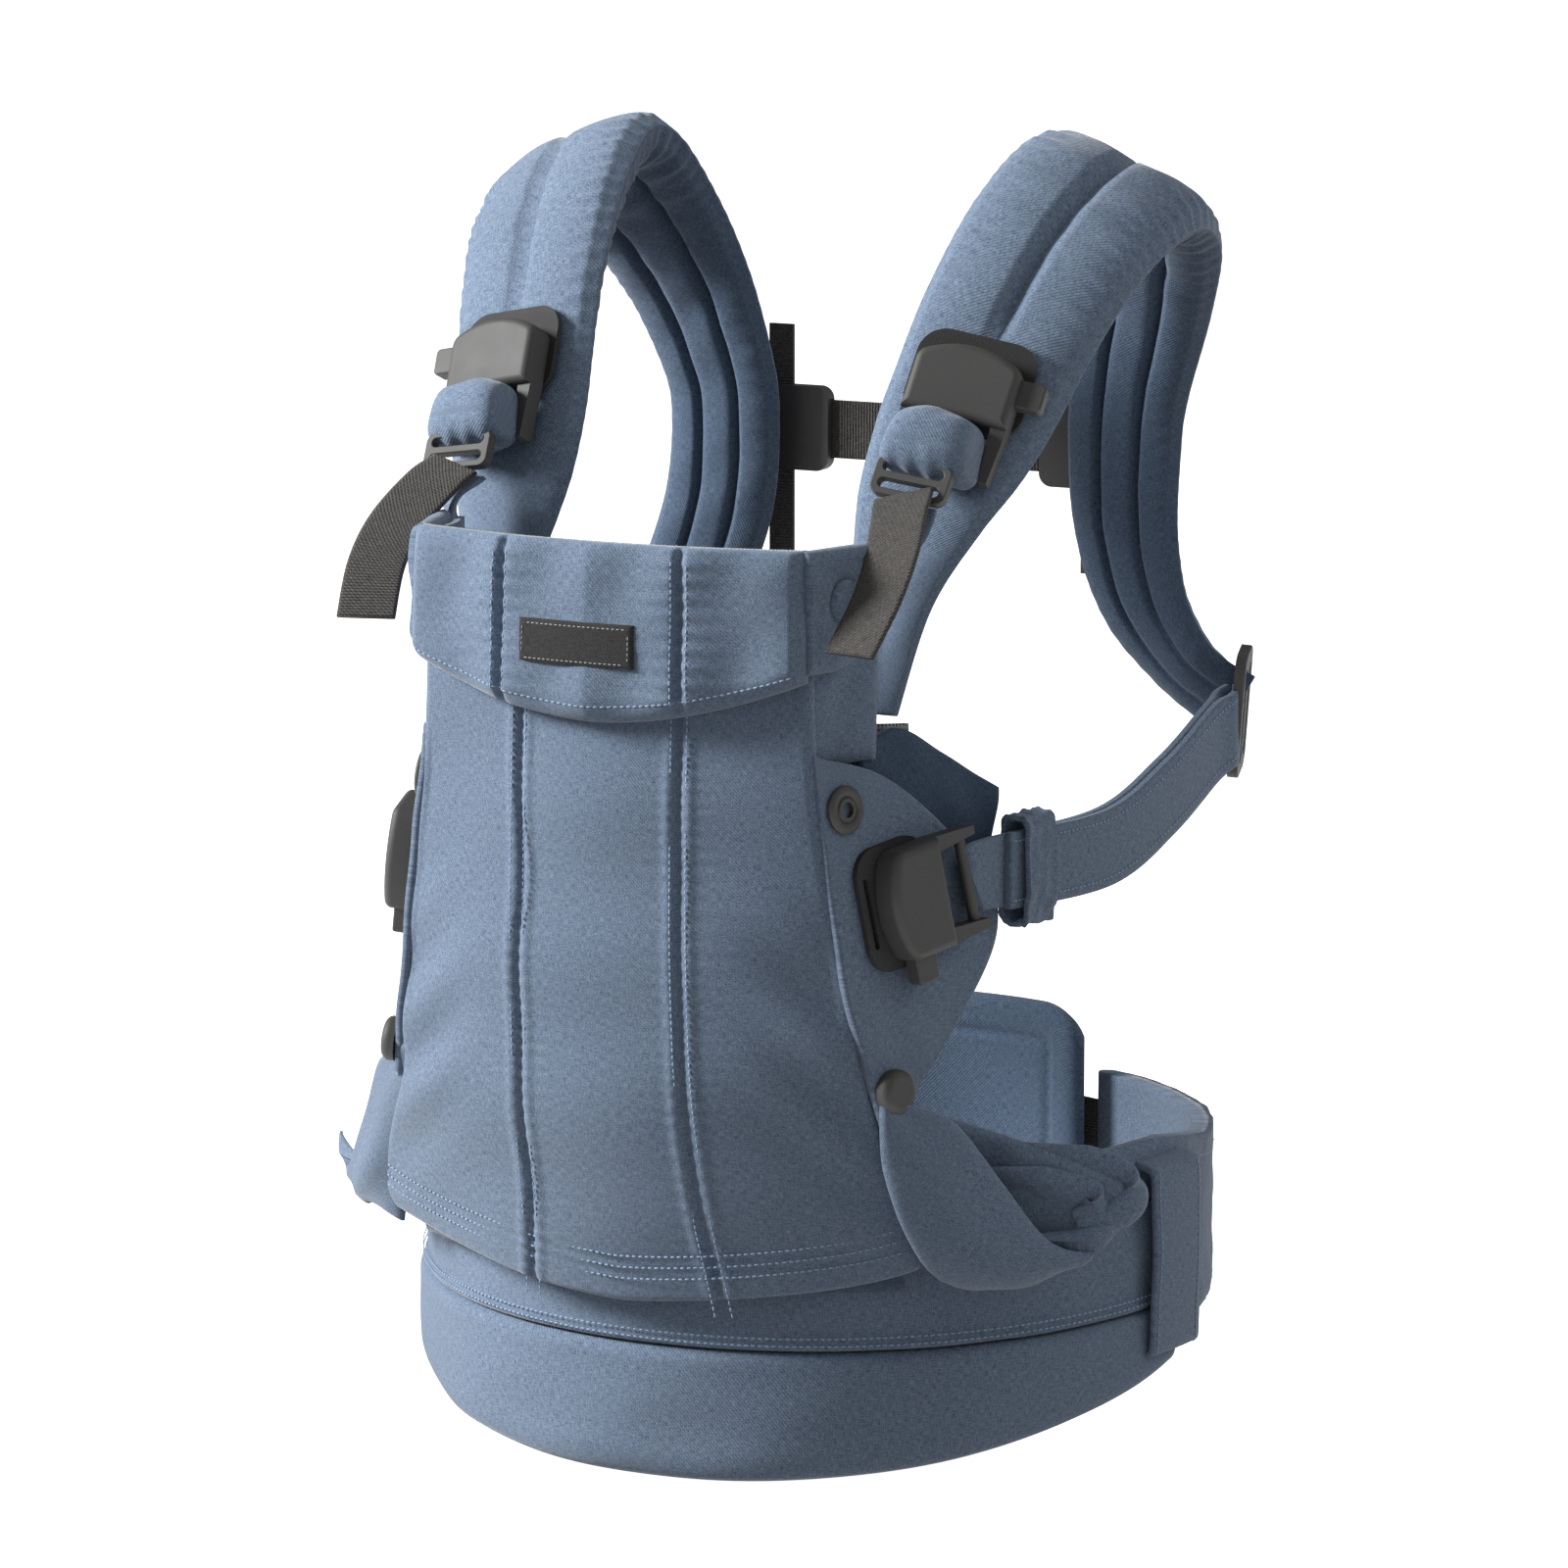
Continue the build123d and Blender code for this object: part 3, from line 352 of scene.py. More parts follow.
def moulded(name, code, roughness, grain):
    """Moulded plastic: one colour, with a fine spark-eroded grain on the surface."""
    material = bpy.data.materials.new(name)
    material.use_nodes = True
    tree = material.node_tree
    tree.nodes.clear()
    where = shader(tree, "TexCoord").outputs["Object"]
    fine = shader(tree, "TexNoise", {"Vector": where, "Scale": 1800.0, "Detail": 2.0})
    broad = shader(tree, "TexNoise", {"Vector": where, "Scale": 60.0, "Detail": 2.0})
    rough = shader(tree, "MapRange", {
        "Value": broad.outputs["Fac"],
        "To Min": roughness - 0.05,
        "To Max": roughness + 0.06,
    })
    bump = shader(tree, "Bump", {"Height": fine.outputs["Fac"], "Strength": grain, "Distance": 0.0002})
    surface = shader(tree, "BsdfPrincipled", {
        "Base Color": linear(code),
        "Roughness": rough.outputs[0],
        "Normal": bump.outputs[0],
    })
    shader(tree, "OutputMaterial", {"Surface": surface.outputs[0]})
    return material


# Acetal mouldings in warm dark grey, with a satin surface.
acetal = moulded("grey_acetal", "3A3938", 0.62, 0.25)


def cad_finish(node, material):
    """Give a moulded CAD node its plastic."""
    made = bpy.data.objects[node]
    made.data.materials.clear()
    made.data.materials.append(material)


for node in ("waist_buckle_socket", "waist_buckle_insert", "waist_buckle_button", "lumbar_loops"):
    cad_finish(node, acetal)

for side, low, high in (("left", 157.0, 174.6), ("right", 186.3, 203.0)):
    angle = np.linspace(low, high, 24)[:, None]
    level = np.linspace(-19, 19, 10)[None, :]
    slab(f"waist_webbing_{side}", ring_point(162.5, angle, level), ring_point(160.6, angle, level), webbing,
         stands_for=[f"waist_webbing_{side}"])

pad_angle = np.linspace(-24.5, 24.5, 60)[:, None]
pad_share = np.linspace(0, 1, 50)[None, :]
pad_x = pad_angle / 24.5
corner_in = np.clip(np.abs(pad_x) - 0.6, 0, 1) / 0.4
pad_high = 63 - 20 * (1 - np.sqrt(np.clip(1 - corner_in ** 2, 0, 1)))
pad_low = -30 + 16 * (1 - np.sqrt(np.clip(1 - corner_in ** 2, 0, 1)))
pad_level = pad_low + (pad_high - pad_low) * pad_share
pad_edge = np.minimum(np.minimum(1 - np.abs(pad_x), 1) * 57, np.minimum(pad_share, 1 - pad_share) * 90)
pad_puff = 0.2 + 0.8 * np.sqrt(1 - (1 - np.clip(pad_edge / 9, 0, 1)) ** 2)
pad_groove = np.exp(-((pad_edge - 16) / 1.5) ** 2)
pad_inner = ring_point(148.5 - 5.5 * pad_puff + 1.8 * pad_groove, 180 + pad_angle, pad_level)
pad_outer = ring_point(148.5 + 4.6 * pad_puff, 180 + pad_angle, pad_level)
# The lumbar pad takes the darker twill: painted shade inside the belt.
lumbar = slab("lumbar_pad", pad_inner, pad_outer, painted_shade_twill, body="lumbar", stands_for=["lumbar_pad"])


# ---------------------------------------------------------------- front panel
# The seat panel: a padded twill cover with two double seams down it, closed by a triple-stitched hem
# at the bottom, and a dark jersey lining.

# Level, half width, and y at the middle and at the edges.
PANEL_LEVELS = np.array([
    (-12, 124, -186.5, -131), (-5, 126, -187.5, -136), (35, 124, -199, -154), (82, 111, -209, -180),
    (150, 101, -212, -189), (228, 91, -209, -192), (270, 90, -207, -191), (312, 89, -204.5, -189.5),
])


def panel_row(level, column):
    """One column of the panel's table at a level, averaged over 48 mm so that the curve has no kinks."""
    steps = range(-24, 25, 8)
    return sum(np.interp(level + step, PANEL_LEVELS[:, 0], PANEL_LEVELS[:, column]) for step in steps) / 7


def panel_point(across, level, proud):
    """A point of the panel: across is -1 to 1 from seam to seam on a level's arc, moved out by proud.
    Near the seat both edges sag a little to the right-hand side, as worn cloth does."""
    half = panel_row(level, 1)
    middle = panel_row(level, 2)
    rise = panel_row(level, 3) - middle
    radius = (half ** 2 + rise ** 2) / (2 * rise)
    turn = across * np.arcsin(np.clip(half / radius, -1, 1))
    low = np.exp(-((level - 20) / 34) ** 2)
    sag_right = 16 * np.clip((-across - 0.5) / 0.5, 0, 1) ** 1.5
    sag_left = 4 * np.clip((across - 0.6) / 0.4, 0, 1) ** 1.5
    sag = low * (sag_right + sag_left)
    x = (radius + proud) * np.sin(turn) - sag
    y = middle + radius - (radius + proud) * np.cos(turn) - sag * np.where(across > 0, 1.6, -0.2)
    return np.stack([x, y, level + 0 * turn], -1)


panel_u = np.linspace(-1, 1, 260)[:, None]
panel_v = np.linspace(0, 1, 300)[None, :]
seam_level = np.linspace(-12, 315, 80)


def seam_across(level):
    """How far across the panel its two long seams run: 37 mm out, a little more at the bottom."""
    half = panel_row(level, 1)
    return (37 + 4 * np.exp(-(level + 5) / 40)) / half / 1.02


hem = 4 + 9 * np.abs(panel_u) ** 1.5 - 9 * (1 - np.abs(panel_u)) ** 0.5 * 1.2
panel_level = hem + (313 - hem) * panel_v
panel_half = panel_row(panel_level, 1)
from_seam = (np.abs(panel_u) - seam_across(panel_level)) * panel_half
groove = np.exp(-(from_seam / 1.3) ** 2)
shoulder = np.exp(-((np.abs(from_seam) - 4.5) / 2.2) ** 2)
pucker = np.exp(-(np.abs(from_seam) / 9)) * np.sin(panel_level * 2 * math.pi / 6.5
                                                   + 3 * np.sin(panel_level / 17))
folds = waves(panel_u * panel_half, panel_level, 60, 240, 21) * 1.1
drag = np.exp(-((panel_level - 95) / 60) ** 2) * np.exp(-((np.abs(panel_u) - 0.86) / 0.2) ** 2)
drag = drag * np.sin((panel_u * panel_half * np.sign(panel_u) * 0.55 + panel_level * 0.83) * 2 * math.pi / 34)
hem_edge = np.clip((panel_level - hem) / 3, 0, 1)
hem_line = sum(np.exp(-((panel_level - hem - 13 - k) / 1.1) ** 2) for k in (0, 5.0))
side_edge = np.clip((1 - np.abs(panel_u)) * panel_half / 5, 0, 1)
proud = -2.0 * groove + 0.7 * shoulder + 0.24 * pucker + 1.4 * folds * side_edge + 1.6 * drag - 0.5 * hem_line
proud = proud - 2.6 * (1 - np.sqrt(1 - (1 - side_edge) ** 2)) - 2.0 * (1 - np.sqrt(1 - (1 - hem_edge) ** 2))
panel_front = panel_point(panel_u, panel_level, proud)
panel_back = panel_point(panel_u, panel_level, -6.3 + 0 * proud + 1.2 * (1 - side_edge))
panel = slab("front_panel", panel_front, panel_back, twill,
             stands_for=["front_panel_cover", "front_panel_padding"])

lining_u = np.linspace(-0.92, 0.92, 60)[:, None]
lining_level = np.linspace(0, 311, 80)[None, :]
slab("front_panel_lining",
     panel_point(lining_u, lining_level + 0 * lining_u, -6.8 + 0 * lining_u * lining_level),
     panel_point(lining_u, lining_level + 0 * lining_u, -8.2 + 0 * lining_u * lining_level), jersey,
     stands_for=["front_panel_lining"])

rows = []
for sign in (-1, 1):
    for off in (-3.3, 3.3):
        half = panel_row(seam_level, 1)
        across = sign * (seam_across(seam_level) + off / half)
        line = panel_point(across, seam_level, 0.75 + 0 * across)
        rows.append((line, panel_point(across, seam_level, 2 + 0 * across) - line))
for rise in (10.5, 15.5, 20.5):
    across = np.linspace(-0.97, 0.97, 120)
    level = 4 + 9 * np.abs(across) ** 1.5 - 10.8 * (1 - np.abs(across)) ** 0.5 + rise
    line = panel_point(across, level, 0.6 + 0 * across)
    rows.append((line, panel_point(across, level, 2 + 0 * across) - line))
stitches("front_panel_stitches", rows, thread)


# ---------------------------------------------------------------- head support
# The padded top of the panel, folded down over the front and buttoned at the sides. Foam in twill,
# in three sewn parts, with a bare woven patch.

flap_u = np.linspace(-1, 1, 200)[:, None]
flap_v = np.linspace(0, 1, 90)[None, :]
flap_edge = 241 + 20 * np.abs(flap_u) ** 1.8
flap_levels = flap_edge + (315 - flap_edge) * flap_v
flap_half = 88.5
seam_from = (np.abs(flap_u) - 0.44) * flap_half
flap_low_round = np.sqrt(1 - (1 - np.clip(flap_v * 75 / 12, 0, 1)) ** 2)
flap_top_round = np.sqrt(1 - (1 - np.clip((1 - flap_v) * 75 / 14, 0, 1)) ** 2)
flap_thick = flap_low_round * (0.6 + 0.4 * flap_top_round)
flap_groove = 3.6 * np.exp(-(seam_from / 1.8) ** 2)
flap_pucker = 0.45 * np.exp(-np.abs(seam_from) / 9) * np.sin(flap_levels * 0.9)
flap_folds = waves(flap_u * 88, flap_levels, 30, 130, 31) * 0.8
flap_puff = flap_thick * (7.5 + 2.0 * np.cos(seam_from / 44 * math.pi) ** 2 - flap_groove + flap_folds
                          + flap_pucker)
flap_puff = flap_puff * (0.35 + 0.65 * np.clip((1 - np.abs(flap_u)) * flap_half / 6, 0, 1) ** 0.5)
support_front = panel_point(flap_u * 0.985, flap_levels, 3.2 + flap_puff)
support_back = panel_point(flap_u * 0.985, flap_levels, 2.6 + 0 * flap_puff)
support = slab("head_support", support_front, support_back, twill, body="head_support",
               stands_for=["head_support"])
rows = []
for sign in (-1, 1):
    for off in (-3.2, 3.2):
        across = sign * (0.44 + off / flap_half)
        k = int(round((across + 1) / 2 * 199))
        rows.append((support_front[k, 6:86], normals(support_front)[k, 6:86] * np.array([1, 1, 1])))
rows.append((support_front[4:196, 9], normals(support_front)[4:196, 9]))
rows = [(line, square * (-1 if square[len(square) // 2][1] > 0 else 1)) for line, square in rows]
stitches("head_support_stitches", rows, thread, body="head_support")

SIDE_BACK = np.array([0.3007, 0.9537, 0.0])
SIDE_OUT = np.array([0.9537, -0.3007, 0.0])


def side_point(along, level, proud):
    """A point beside the panel's corner: along runs back, level up, proud outwards."""
    along, level, proud = np.broadcast_arrays(along, level, proud)
    return (np.array([90.0, -192.0, 0.0]) + along[..., None] * SIDE_BACK + proud[..., None] * SIDE_OUT
            + level[..., None] * np.array([0.0, 0.0, 1.0]))


for side, sign, flip in SIDES:
    end_u, end_v = grid(40, 40)
    low = 264 + 22 * np.clip(end_u - 0.35, 0, 1) ** 2 / 0.42
    level = low + (315 - low) * end_v
    along = -5 + 45 * end_u
    rim = np.clip(np.minimum(np.minimum(end_v, 1 - end_v) * 50, (1 - end_u) * 39) / 7, 0, 1)
    thick = 4.6 * np.sqrt(1 - (1 - rim) ** 2) + 0.4 + 0.6 * waves(along, level, 12, 40, 41) * rim
    dimple = -3.0 * np.exp(-(((along - 16) ** 2 + (level - 293) ** 2) / 110))
    body = f"head_support_end_{side}"
    front = side_point(along, level, thick + dimple) * flip
    back = side_point(along, level, -thick) * flip
    made = slab(f"head_support_side_{side}", front, back, twill, body=body,
                stands_for=[f"head_support_side_{side}"])
    turn = np.linspace(0, 2 * math.pi, 41)[:-1][:, None]
    profile = through([(8.6, 1.2), (8.8, 2.4), (7.6, 4.0), (5, 4.6), (0.01, 4.8)], 14)
    cap_radius = profile[None, :, 0]
    cap = side_point(16 + cap_radius * np.cos(turn), 293 + cap_radius * np.sin(turn),
                     profile[None, :, 1] + 2.0)
    n = 14
    index = np.arange(40 * n).reshape(40, n)
    nxt = np.roll(index, -1, axis=0)
    faces = np.stack([index[:, :-1], index[:, 1:], nxt[:, 1:], nxt[:, :-1]], -1).reshape(-1, 4).tolist()
    faces.append(index[:, 0].tolist())
    points = (cap * flip).reshape(-1, 3)
    covered = piece(f"flap_button_{side}", points, faces, points[:, 1:], twill, body,
                    [f"flap_button_{side}"])

# The patch: dark woven tape with a dashed line of pale stitches near its edge, and no lettering.
patch_cloth = woven("dark_woven_patch", "232323", "3A3A3A", 0.0005, relief=0.2, sheen=0.05)
patch_u = np.linspace(-29, 21, 40)[:, None]
patch_w = np.linspace(265, 283, 18)[None, :]
patch_share = (patch_u / flap_half) * 0.985
patch_inset = np.minimum(np.minimum(patch_u + 29, 21 - patch_u), np.minimum(patch_w - 265, 283 - patch_w))
patch_rim = np.clip(patch_inset / 1.2, 0, 1)
patch_front = panel_point(patch_share, patch_w + 0 * patch_u, 12.6 + 0.8 * patch_rim)
patch_back = panel_point(patch_share, patch_w + 0 * patch_u, 11.4 + 0 * patch_rim)
slab("label_patch", patch_front, patch_back, patch_cloth, body="head_support",
     stands_for=["label_patch"])
frame_line = np.array([(-27, 266.8), (19, 266.8), (19, 281.2), (-27, 281.2), (-27, 266.8)])
rows = []
for start, end in zip(frame_line[:-1], frame_line[1:]):
    walk = start + (end - start) * np.linspace(0, 1, 30)[:, None]
    line = panel_point(walk[:, 0] / flap_half * 0.985, walk[:, 1], 13.5 + 0 * walk[:, 0])
    rows.append((line, panel_point(walk[:, 0] / flap_half * 0.985, walk[:, 1], 16 + 0 * walk[:, 0]) - line))
patch_thread = woven("pale_grey_thread", "9A9A98", "C4C4C2", 0.0004, relief=0.1)
stitches("label_patch_stitches", rows, patch_thread, body="head_support", pitch=2.2, width=0.4)


# ---------------------------------------------------------------- wings and leg lobes
# The folding wings of the panel, cut from double twill with a moulded eyelet and a stud, dark linings
# behind them, a mesh gusset, and the wide seat's padded sides.

WING_TOP = np.array([91.0, -192.0, 228.0])
wing_normal = np.cross(np.array([114.0, -181.0, 82.0]) - WING_TOP,
                       np.array([130.0, -100.0, 154.0]) - WING_TOP)
wing_normal = wing_normal / np.linalg.norm(wing_normal)
wing_x = np.cross([0, 0, 1], wing_normal)
wing_x = wing_x / np.linalg.norm(wing_x)
wing_y = np.cross(wing_normal, wing_x)


def wing_point(along, up, proud):
    """A point of the wing's plane: along runs back, up runs up, from the top of its seam."""
    along, up, proud = np.broadcast_arrays(along, up, proud)
    return WING_TOP + along[..., None] * wing_x + up[..., None] * wing_y + proud[..., None] * wing_normal


WING_FRONT = [(0.5, 3), (2, -30), (4, -62), (8, -95), (15, -125), (23, -152)]
WING_REAR = [(6, 1), (38, -9), (68, -30), (97, -60), (101, -75), (95, -91), (76, -112), (52, -134),
             (28, -155)]

for side, sign, flip in SIDES:
    front_line = through(WING_FRONT, 90)
    rear_line = through(WING_REAR, 90)
    share = np.linspace(0, 1, 50)[None, :, None]
    flat = front_line[:, None] + (rear_line - front_line)[:, None] * share
    along, up = flat[..., 0], flat[..., 1]
    rim = np.clip((1 - share[..., 0]) * np.linalg.norm(rear_line - front_line, axis=1)[:, None] / 3, 0, 1)
    soft = waves(along, up, 30, 120, 51) * 0.9 * rim
    pull = 1.2 * np.exp(-((along - 28) ** 2 + (up + 139) ** 2) / 900) * np.sin((along + 0.6 * up) / 4.5)
    puff = 0.8 * np.sqrt(1 - (1 - rim) ** 2)
    hole = (np.exp(-((along - 15) ** 2 + (up + 21) ** 2) / 220)
            + np.exp(-((along - 28) ** 2 + (up + 139) ** 2) / 300))
    soft = soft * (1 - np.clip(hole, 0, 1)) + pull * 0.6
    buckle = np.clip(np.exp(-((along - 43) ** 2 + (up + 62) ** 2) / 1600) * 1.6, 0, 1)
    soft = soft * (1 - buckle)
    wing_front = wing_point(along, up, -0.9 + puff + soft) * flip
    made = slab(f"wing_{side}", wing_front, wing_point(along, up, -3.0 - puff + soft) * flip, twill,
                stands_for=[f"wing_{side}"])
    lining_u, lining_v = grid(30, 24)
    top = through([(36, 0), (56, 8), (84, -6), (114, -24)], 30)
    low = through([(36, -52), (60, -54), (84, -56), (106, -48)], 30)
    flat = low[:, None] + (top - low)[:, None] * lining_v[..., None]
    bend = waves(flat[..., 0], flat[..., 1], 20, 60, 52) * 0.8
    edge = 0.6 * np.sin(lining_v * math.pi) + 0.5
    slab(f"wing_lining_{side}", wing_point(flat[..., 0], flat[..., 1], -8 + edge + bend) * flip,
         wing_point(flat[..., 0], flat[..., 1], -9.2 + bend) * flip, jersey,
         stands_for=["wing_linings"])

# Satin mouldings on the wings: eyelets and studs.
for node in ("eyelets", "seat_knobs"):
    cad_finish(node, acetal)

# Spacer mesh: pale grey, with small open holes shown as dark dots of painted shade.
mesh_cloth = bpy.data.materials.new("grey_spacer_mesh")
mesh_cloth.use_nodes = True
mesh_tree = mesh_cloth.node_tree
mesh_tree.nodes.clear()
mesh_uv = shader(mesh_tree, "UVMap").outputs["UV"]
mesh_place = shader(mesh_tree, "VectorMath", {0: mesh_uv, 1: (430.0, 430.0, 1.0)}, operation="MULTIPLY")
mesh_cells = shader(mesh_tree, "TexVoronoi",
                    {"Vector": mesh_place.outputs[0], "Scale": 1.0, "Randomness": 0.15})
mesh_and_hole_shade_ramp = shader(mesh_tree, "ValToRGB", {"Fac": mesh_cells.outputs["Distance"]})
mesh_and_hole_shade_ramp.color_ramp.elements[0].position = 0.22
# The dark end of the ramp: painted shade in the holes.
mesh_and_hole_shade_ramp.color_ramp.elements[0].color = linear("3A3A3C")
mesh_and_hole_shade_ramp.color_ramp.elements[1].position = 0.34
mesh_and_hole_shade_ramp.color_ramp.elements[1].color = linear("8C8C8C")
mesh_bump = shader(mesh_tree, "Bump",
                   {"Height": mesh_cells.outputs["Distance"], "Strength": 0.6, "Distance": 0.0008})
mesh_skin = shader(mesh_tree, "BsdfPrincipled", {
    "Base Color": mesh_and_hole_shade_ramp.outputs["Color"],
    "Roughness": 0.8,
    "Normal": mesh_bump.outputs[0],
})
shader(mesh_tree, "OutputMaterial", {"Surface": mesh_skin.outputs[0]})

for side, sign, flip in SIDES:
    u, v = grid(20, 20)
    along = 36 + 36 * u
    level = 198 + 40 * v - 4 * u
    bow = 1.5 * np.sin(u * math.pi)
    slab(f"mesh_gusset_{side}", side_point(along, level, -14 + bow) * flip,
         side_point(along, level, -16.5 + bow) * flip,
         mesh_cloth, stands_for=["mesh_gussets"])
    along = -3 + 45 * u
    level = 224 + 88 * v
    bow = 0.9 * waves(along, level, 15, 60, 61) + 1.5 * np.sin(v * math.pi)
    slab(f"panel_side_{side}", side_point(along, level, -5 + bow) * flip,
         side_point(along, level, -8.6 + bow) * flip,
         twill, stands_for=["panel_sides"])

GORE_RIM = [(118, -174, 88), (127, -160, 82), (136, -150, 74), (150, -138, 50), (163, -127, 27),
            (173, -117, 18),
            (182, -106, 18), (187, -97, 28)]
GORE_SEAM = {
    "left": [(115, -179, 86), (116, -177, 58), (121, -169, 32), (125, -153, 12), (129, -132, 2)],
    "right": [(106, -178, 92), (106, -172, 68), (114, -160, 48), (124, -150, 30), (128, -146, 16),
              (130, -144, 4)],
}
ROLL_TOP = [(120, -128, 72), (136, -120, 66), (150, -116, 62), (165, -108, 57), (178, -100, 51),
            (187, -93, 45)]
ROLL_LOW = [(120, -124, 26), (136, -118, 20), (150, -110, 18), (165, -100, 18), (178, -94, 20),
            (187, -91, 28)]
LIPS = [
    [(146, -118, 60), (165, -108, 56), (179, -99, 51), (189, -93, 44), (190, -95, 36), (183, -102, 30),
     (172, -110, 28)],
    [(138, -126, 50), (154, -118, 47), (168, -110, 43), (177, -104, 39), (178, -105, 34), (170, -110, 31)],
]


def swept(path, across, width, depth, section):
    """Rings of points along a path: the section's x is across and its y is along the path's normal."""
    ahead = np.gradient(path, axis=0)
    ahead = ahead / np.linalg.norm(ahead, axis=1, keepdims=True)
    side = across - ahead * (across * ahead).sum(1, keepdims=True)
    side = side / np.linalg.norm(side, axis=1, keepdims=True)
    up = np.cross(side, ahead)
    return (path[:, None] + side[:, None] * (section[..., 0] * width[:, None] / 2)[..., None]
            + up[:, None] * (section[..., 1] * depth[:, None] / 2)[..., None])


def tube(name, rings, material, body="carrier", stands_for=()):
    """A closed piece from rings of points, with a flat face at each end."""
    n, m = rings.shape[:2]
    index = np.arange(n * m).reshape(n, m)
    nxt = np.roll(index, -1, axis=1)
    faces = np.stack([index[:-1], nxt[:-1], nxt[1:], index[1:]], -1).reshape(-1, 4).tolist()
    faces.append(index[0, ::-1].tolist())
    faces.append(index[-1].tolist())
    u, v = lengths(rings)
    points = rings.reshape(-1, 3)
    return piece(name, points, faces, np.stack([v.ravel(), u.ravel()], -1), material, body, stands_for)


def seat_side(name, top, low, belly, half_thick, seed, mirror, stands_for=()):
    """A padded piece between two curves: it bellies outwards between them and is thinner at its rim."""
    top = through(top, 100)
    low = through(low, 100)
    share = np.linspace(0, 1, 50)[None, :]
    middle = low[:, None] + (top - low)[:, None] * share[..., None]
    square = normals(middle)
    square = square * np.sign((square * np.array([1.0, -0.6, 0])).sum(-1))[..., None]
    run = np.linspace(0, 1, 100)[:, None]
    u, v = lengths(middle)
    out = belly * np.sin(share * math.pi) ** 0.7 * np.sin(np.clip(run * 1.3, 0, 1) * math.pi / 2)
    soft = waves(u, v, 26, 90, seed) * 0.8 + 0.5 * np.sin(v / 3.2 + u / 17) * np.clip(run - 0.5, 0, 1) * 2
    thick = half_thick * edge_round(u, v, 5, 6)
    front = (middle + square * (out + soft + thick)[..., None]) * np.array([mirror, 1, 1])
    back = (middle + square * (out + soft - thick)[..., None]) * np.array([mirror, 1, 1])
    made = slab(name, front, back, twill, stands_for=stands_for)


for side, sign, _ in SIDES:
    seat_side(f"leg_lobe_{side}", GORE_RIM, GORE_SEAM[side], 7, 2.4, 71, sign, [f"leg_lobe_{side}"])
    lower = np.array([1, 1, 1.0 if sign > 0 else 0.5])
    closer = np.array([0, 0, 0]) if sign > 0 else np.array([-26, 20, 0])
    roll_top, roll_low = np.array(ROLL_TOP) * lower + closer, np.array(ROLL_LOW) * lower + closer
    seat_side(f"seat_roll_{side}", roll_top, roll_low, 3, 4, 73, sign)
    for number, path in enumerate(LIPS):
        lip = through(np.array(path) * lower + closer, 90)
        girth = 4.6 * np.minimum(1, np.linspace(0, 3, 90) + 0.25) * np.minimum(1, np.linspace(3, 0, 90) + 0.3)
        round_turn = np.linspace(0, 2 * math.pi, 33)[:-1]
        lip_section = np.broadcast_to(np.stack([np.cos(round_turn), np.sin(round_turn)], -1), (90, 32, 2))
        lip_rings = swept(lip, np.broadcast_to([0.3, 0.5, -0.8], (90, 3)), girth * 3.2, girth * 1.7,
                          lip_section)
        lip_piece = tube(f"seat_fold_{side}_{number}", lip_rings * np.array([sign, 1, 1]), twill)


# ---------------------------------------------------------------- shoulder straps
# Wide foam straps in twill, with a seam down the middle of each face and piping at both edges. They
# cross the shoulders from the panel's corners to the sliders at the hips.

SHOULDER = [
    ((92, -136, 240), 18, 5, (1, 0.1, -0.1)),
    ((92, -122, 285), 36, 9, (1, 0.05, -0.1)),
    ((96, -104, 320), 58, 12, (1, 0.05, -0.15)),
    ((102, -88, 345), 70, 14, (1, 0.1, -0.2)),
    ((107, -74, 366), 74, 16, (1, 0.15, -0.23)),
    ((114, -54, 397), 78, 18, (1, 0.1, -0.33)),
    ((122, -24, 428), 82, 21, (1, 0, -0.42)),
    ((128, 16, 446), 84, 22, (1, 0, -0.45)),
    ((125, 54, 430), 76, 21, (1, 0, -0.35)),
    ((113, 82, 394), 64, 19, (1, 0, -0.2)),
    ((101, 93, 352), 56, 17, (1, 0, 0)),
    ((98, 95, 325), 54, 16, (1, 0, 0)),
    ((100, 93, 290), 52, 15, (1, -0.1, 0.1)),
    ((110, 90, 258), 48, 13, (1, -0.25, 0.3)),
    ((126, 92, 234), 42, 11, (0.8, -0.4, 0.5)),
    ((139, 96, 221), 38, 8, (0.6, -0.4, 0.8)),
    ((151, 99, 213), 40, 4, (0.5, -0.4, 0.9)),
]


stations = np.array([(*p, w, d, *a) for p, w, d, a in SHOULDER], float)
stations = through(stations, 380)
stations[:, 3:5] = np.maximum(stations[:, 3:5], 4)
PAD_AROUND = 120
section_turn = np.linspace(0, 2 * math.pi, PAD_AROUND + 1)[:-1]
section_x = np.sign(np.cos(section_turn)) * np.abs(np.cos(section_turn)) ** 0.7
section_y = np.sign(np.sin(section_turn)) * np.abs(np.sin(section_turn)) ** 0.8
run_mm = np.concatenate([[0], np.cumsum(np.linalg.norm(np.diff(stations[:, :3], axis=0), axis=1))])
pad_run = run_mm[:, None]


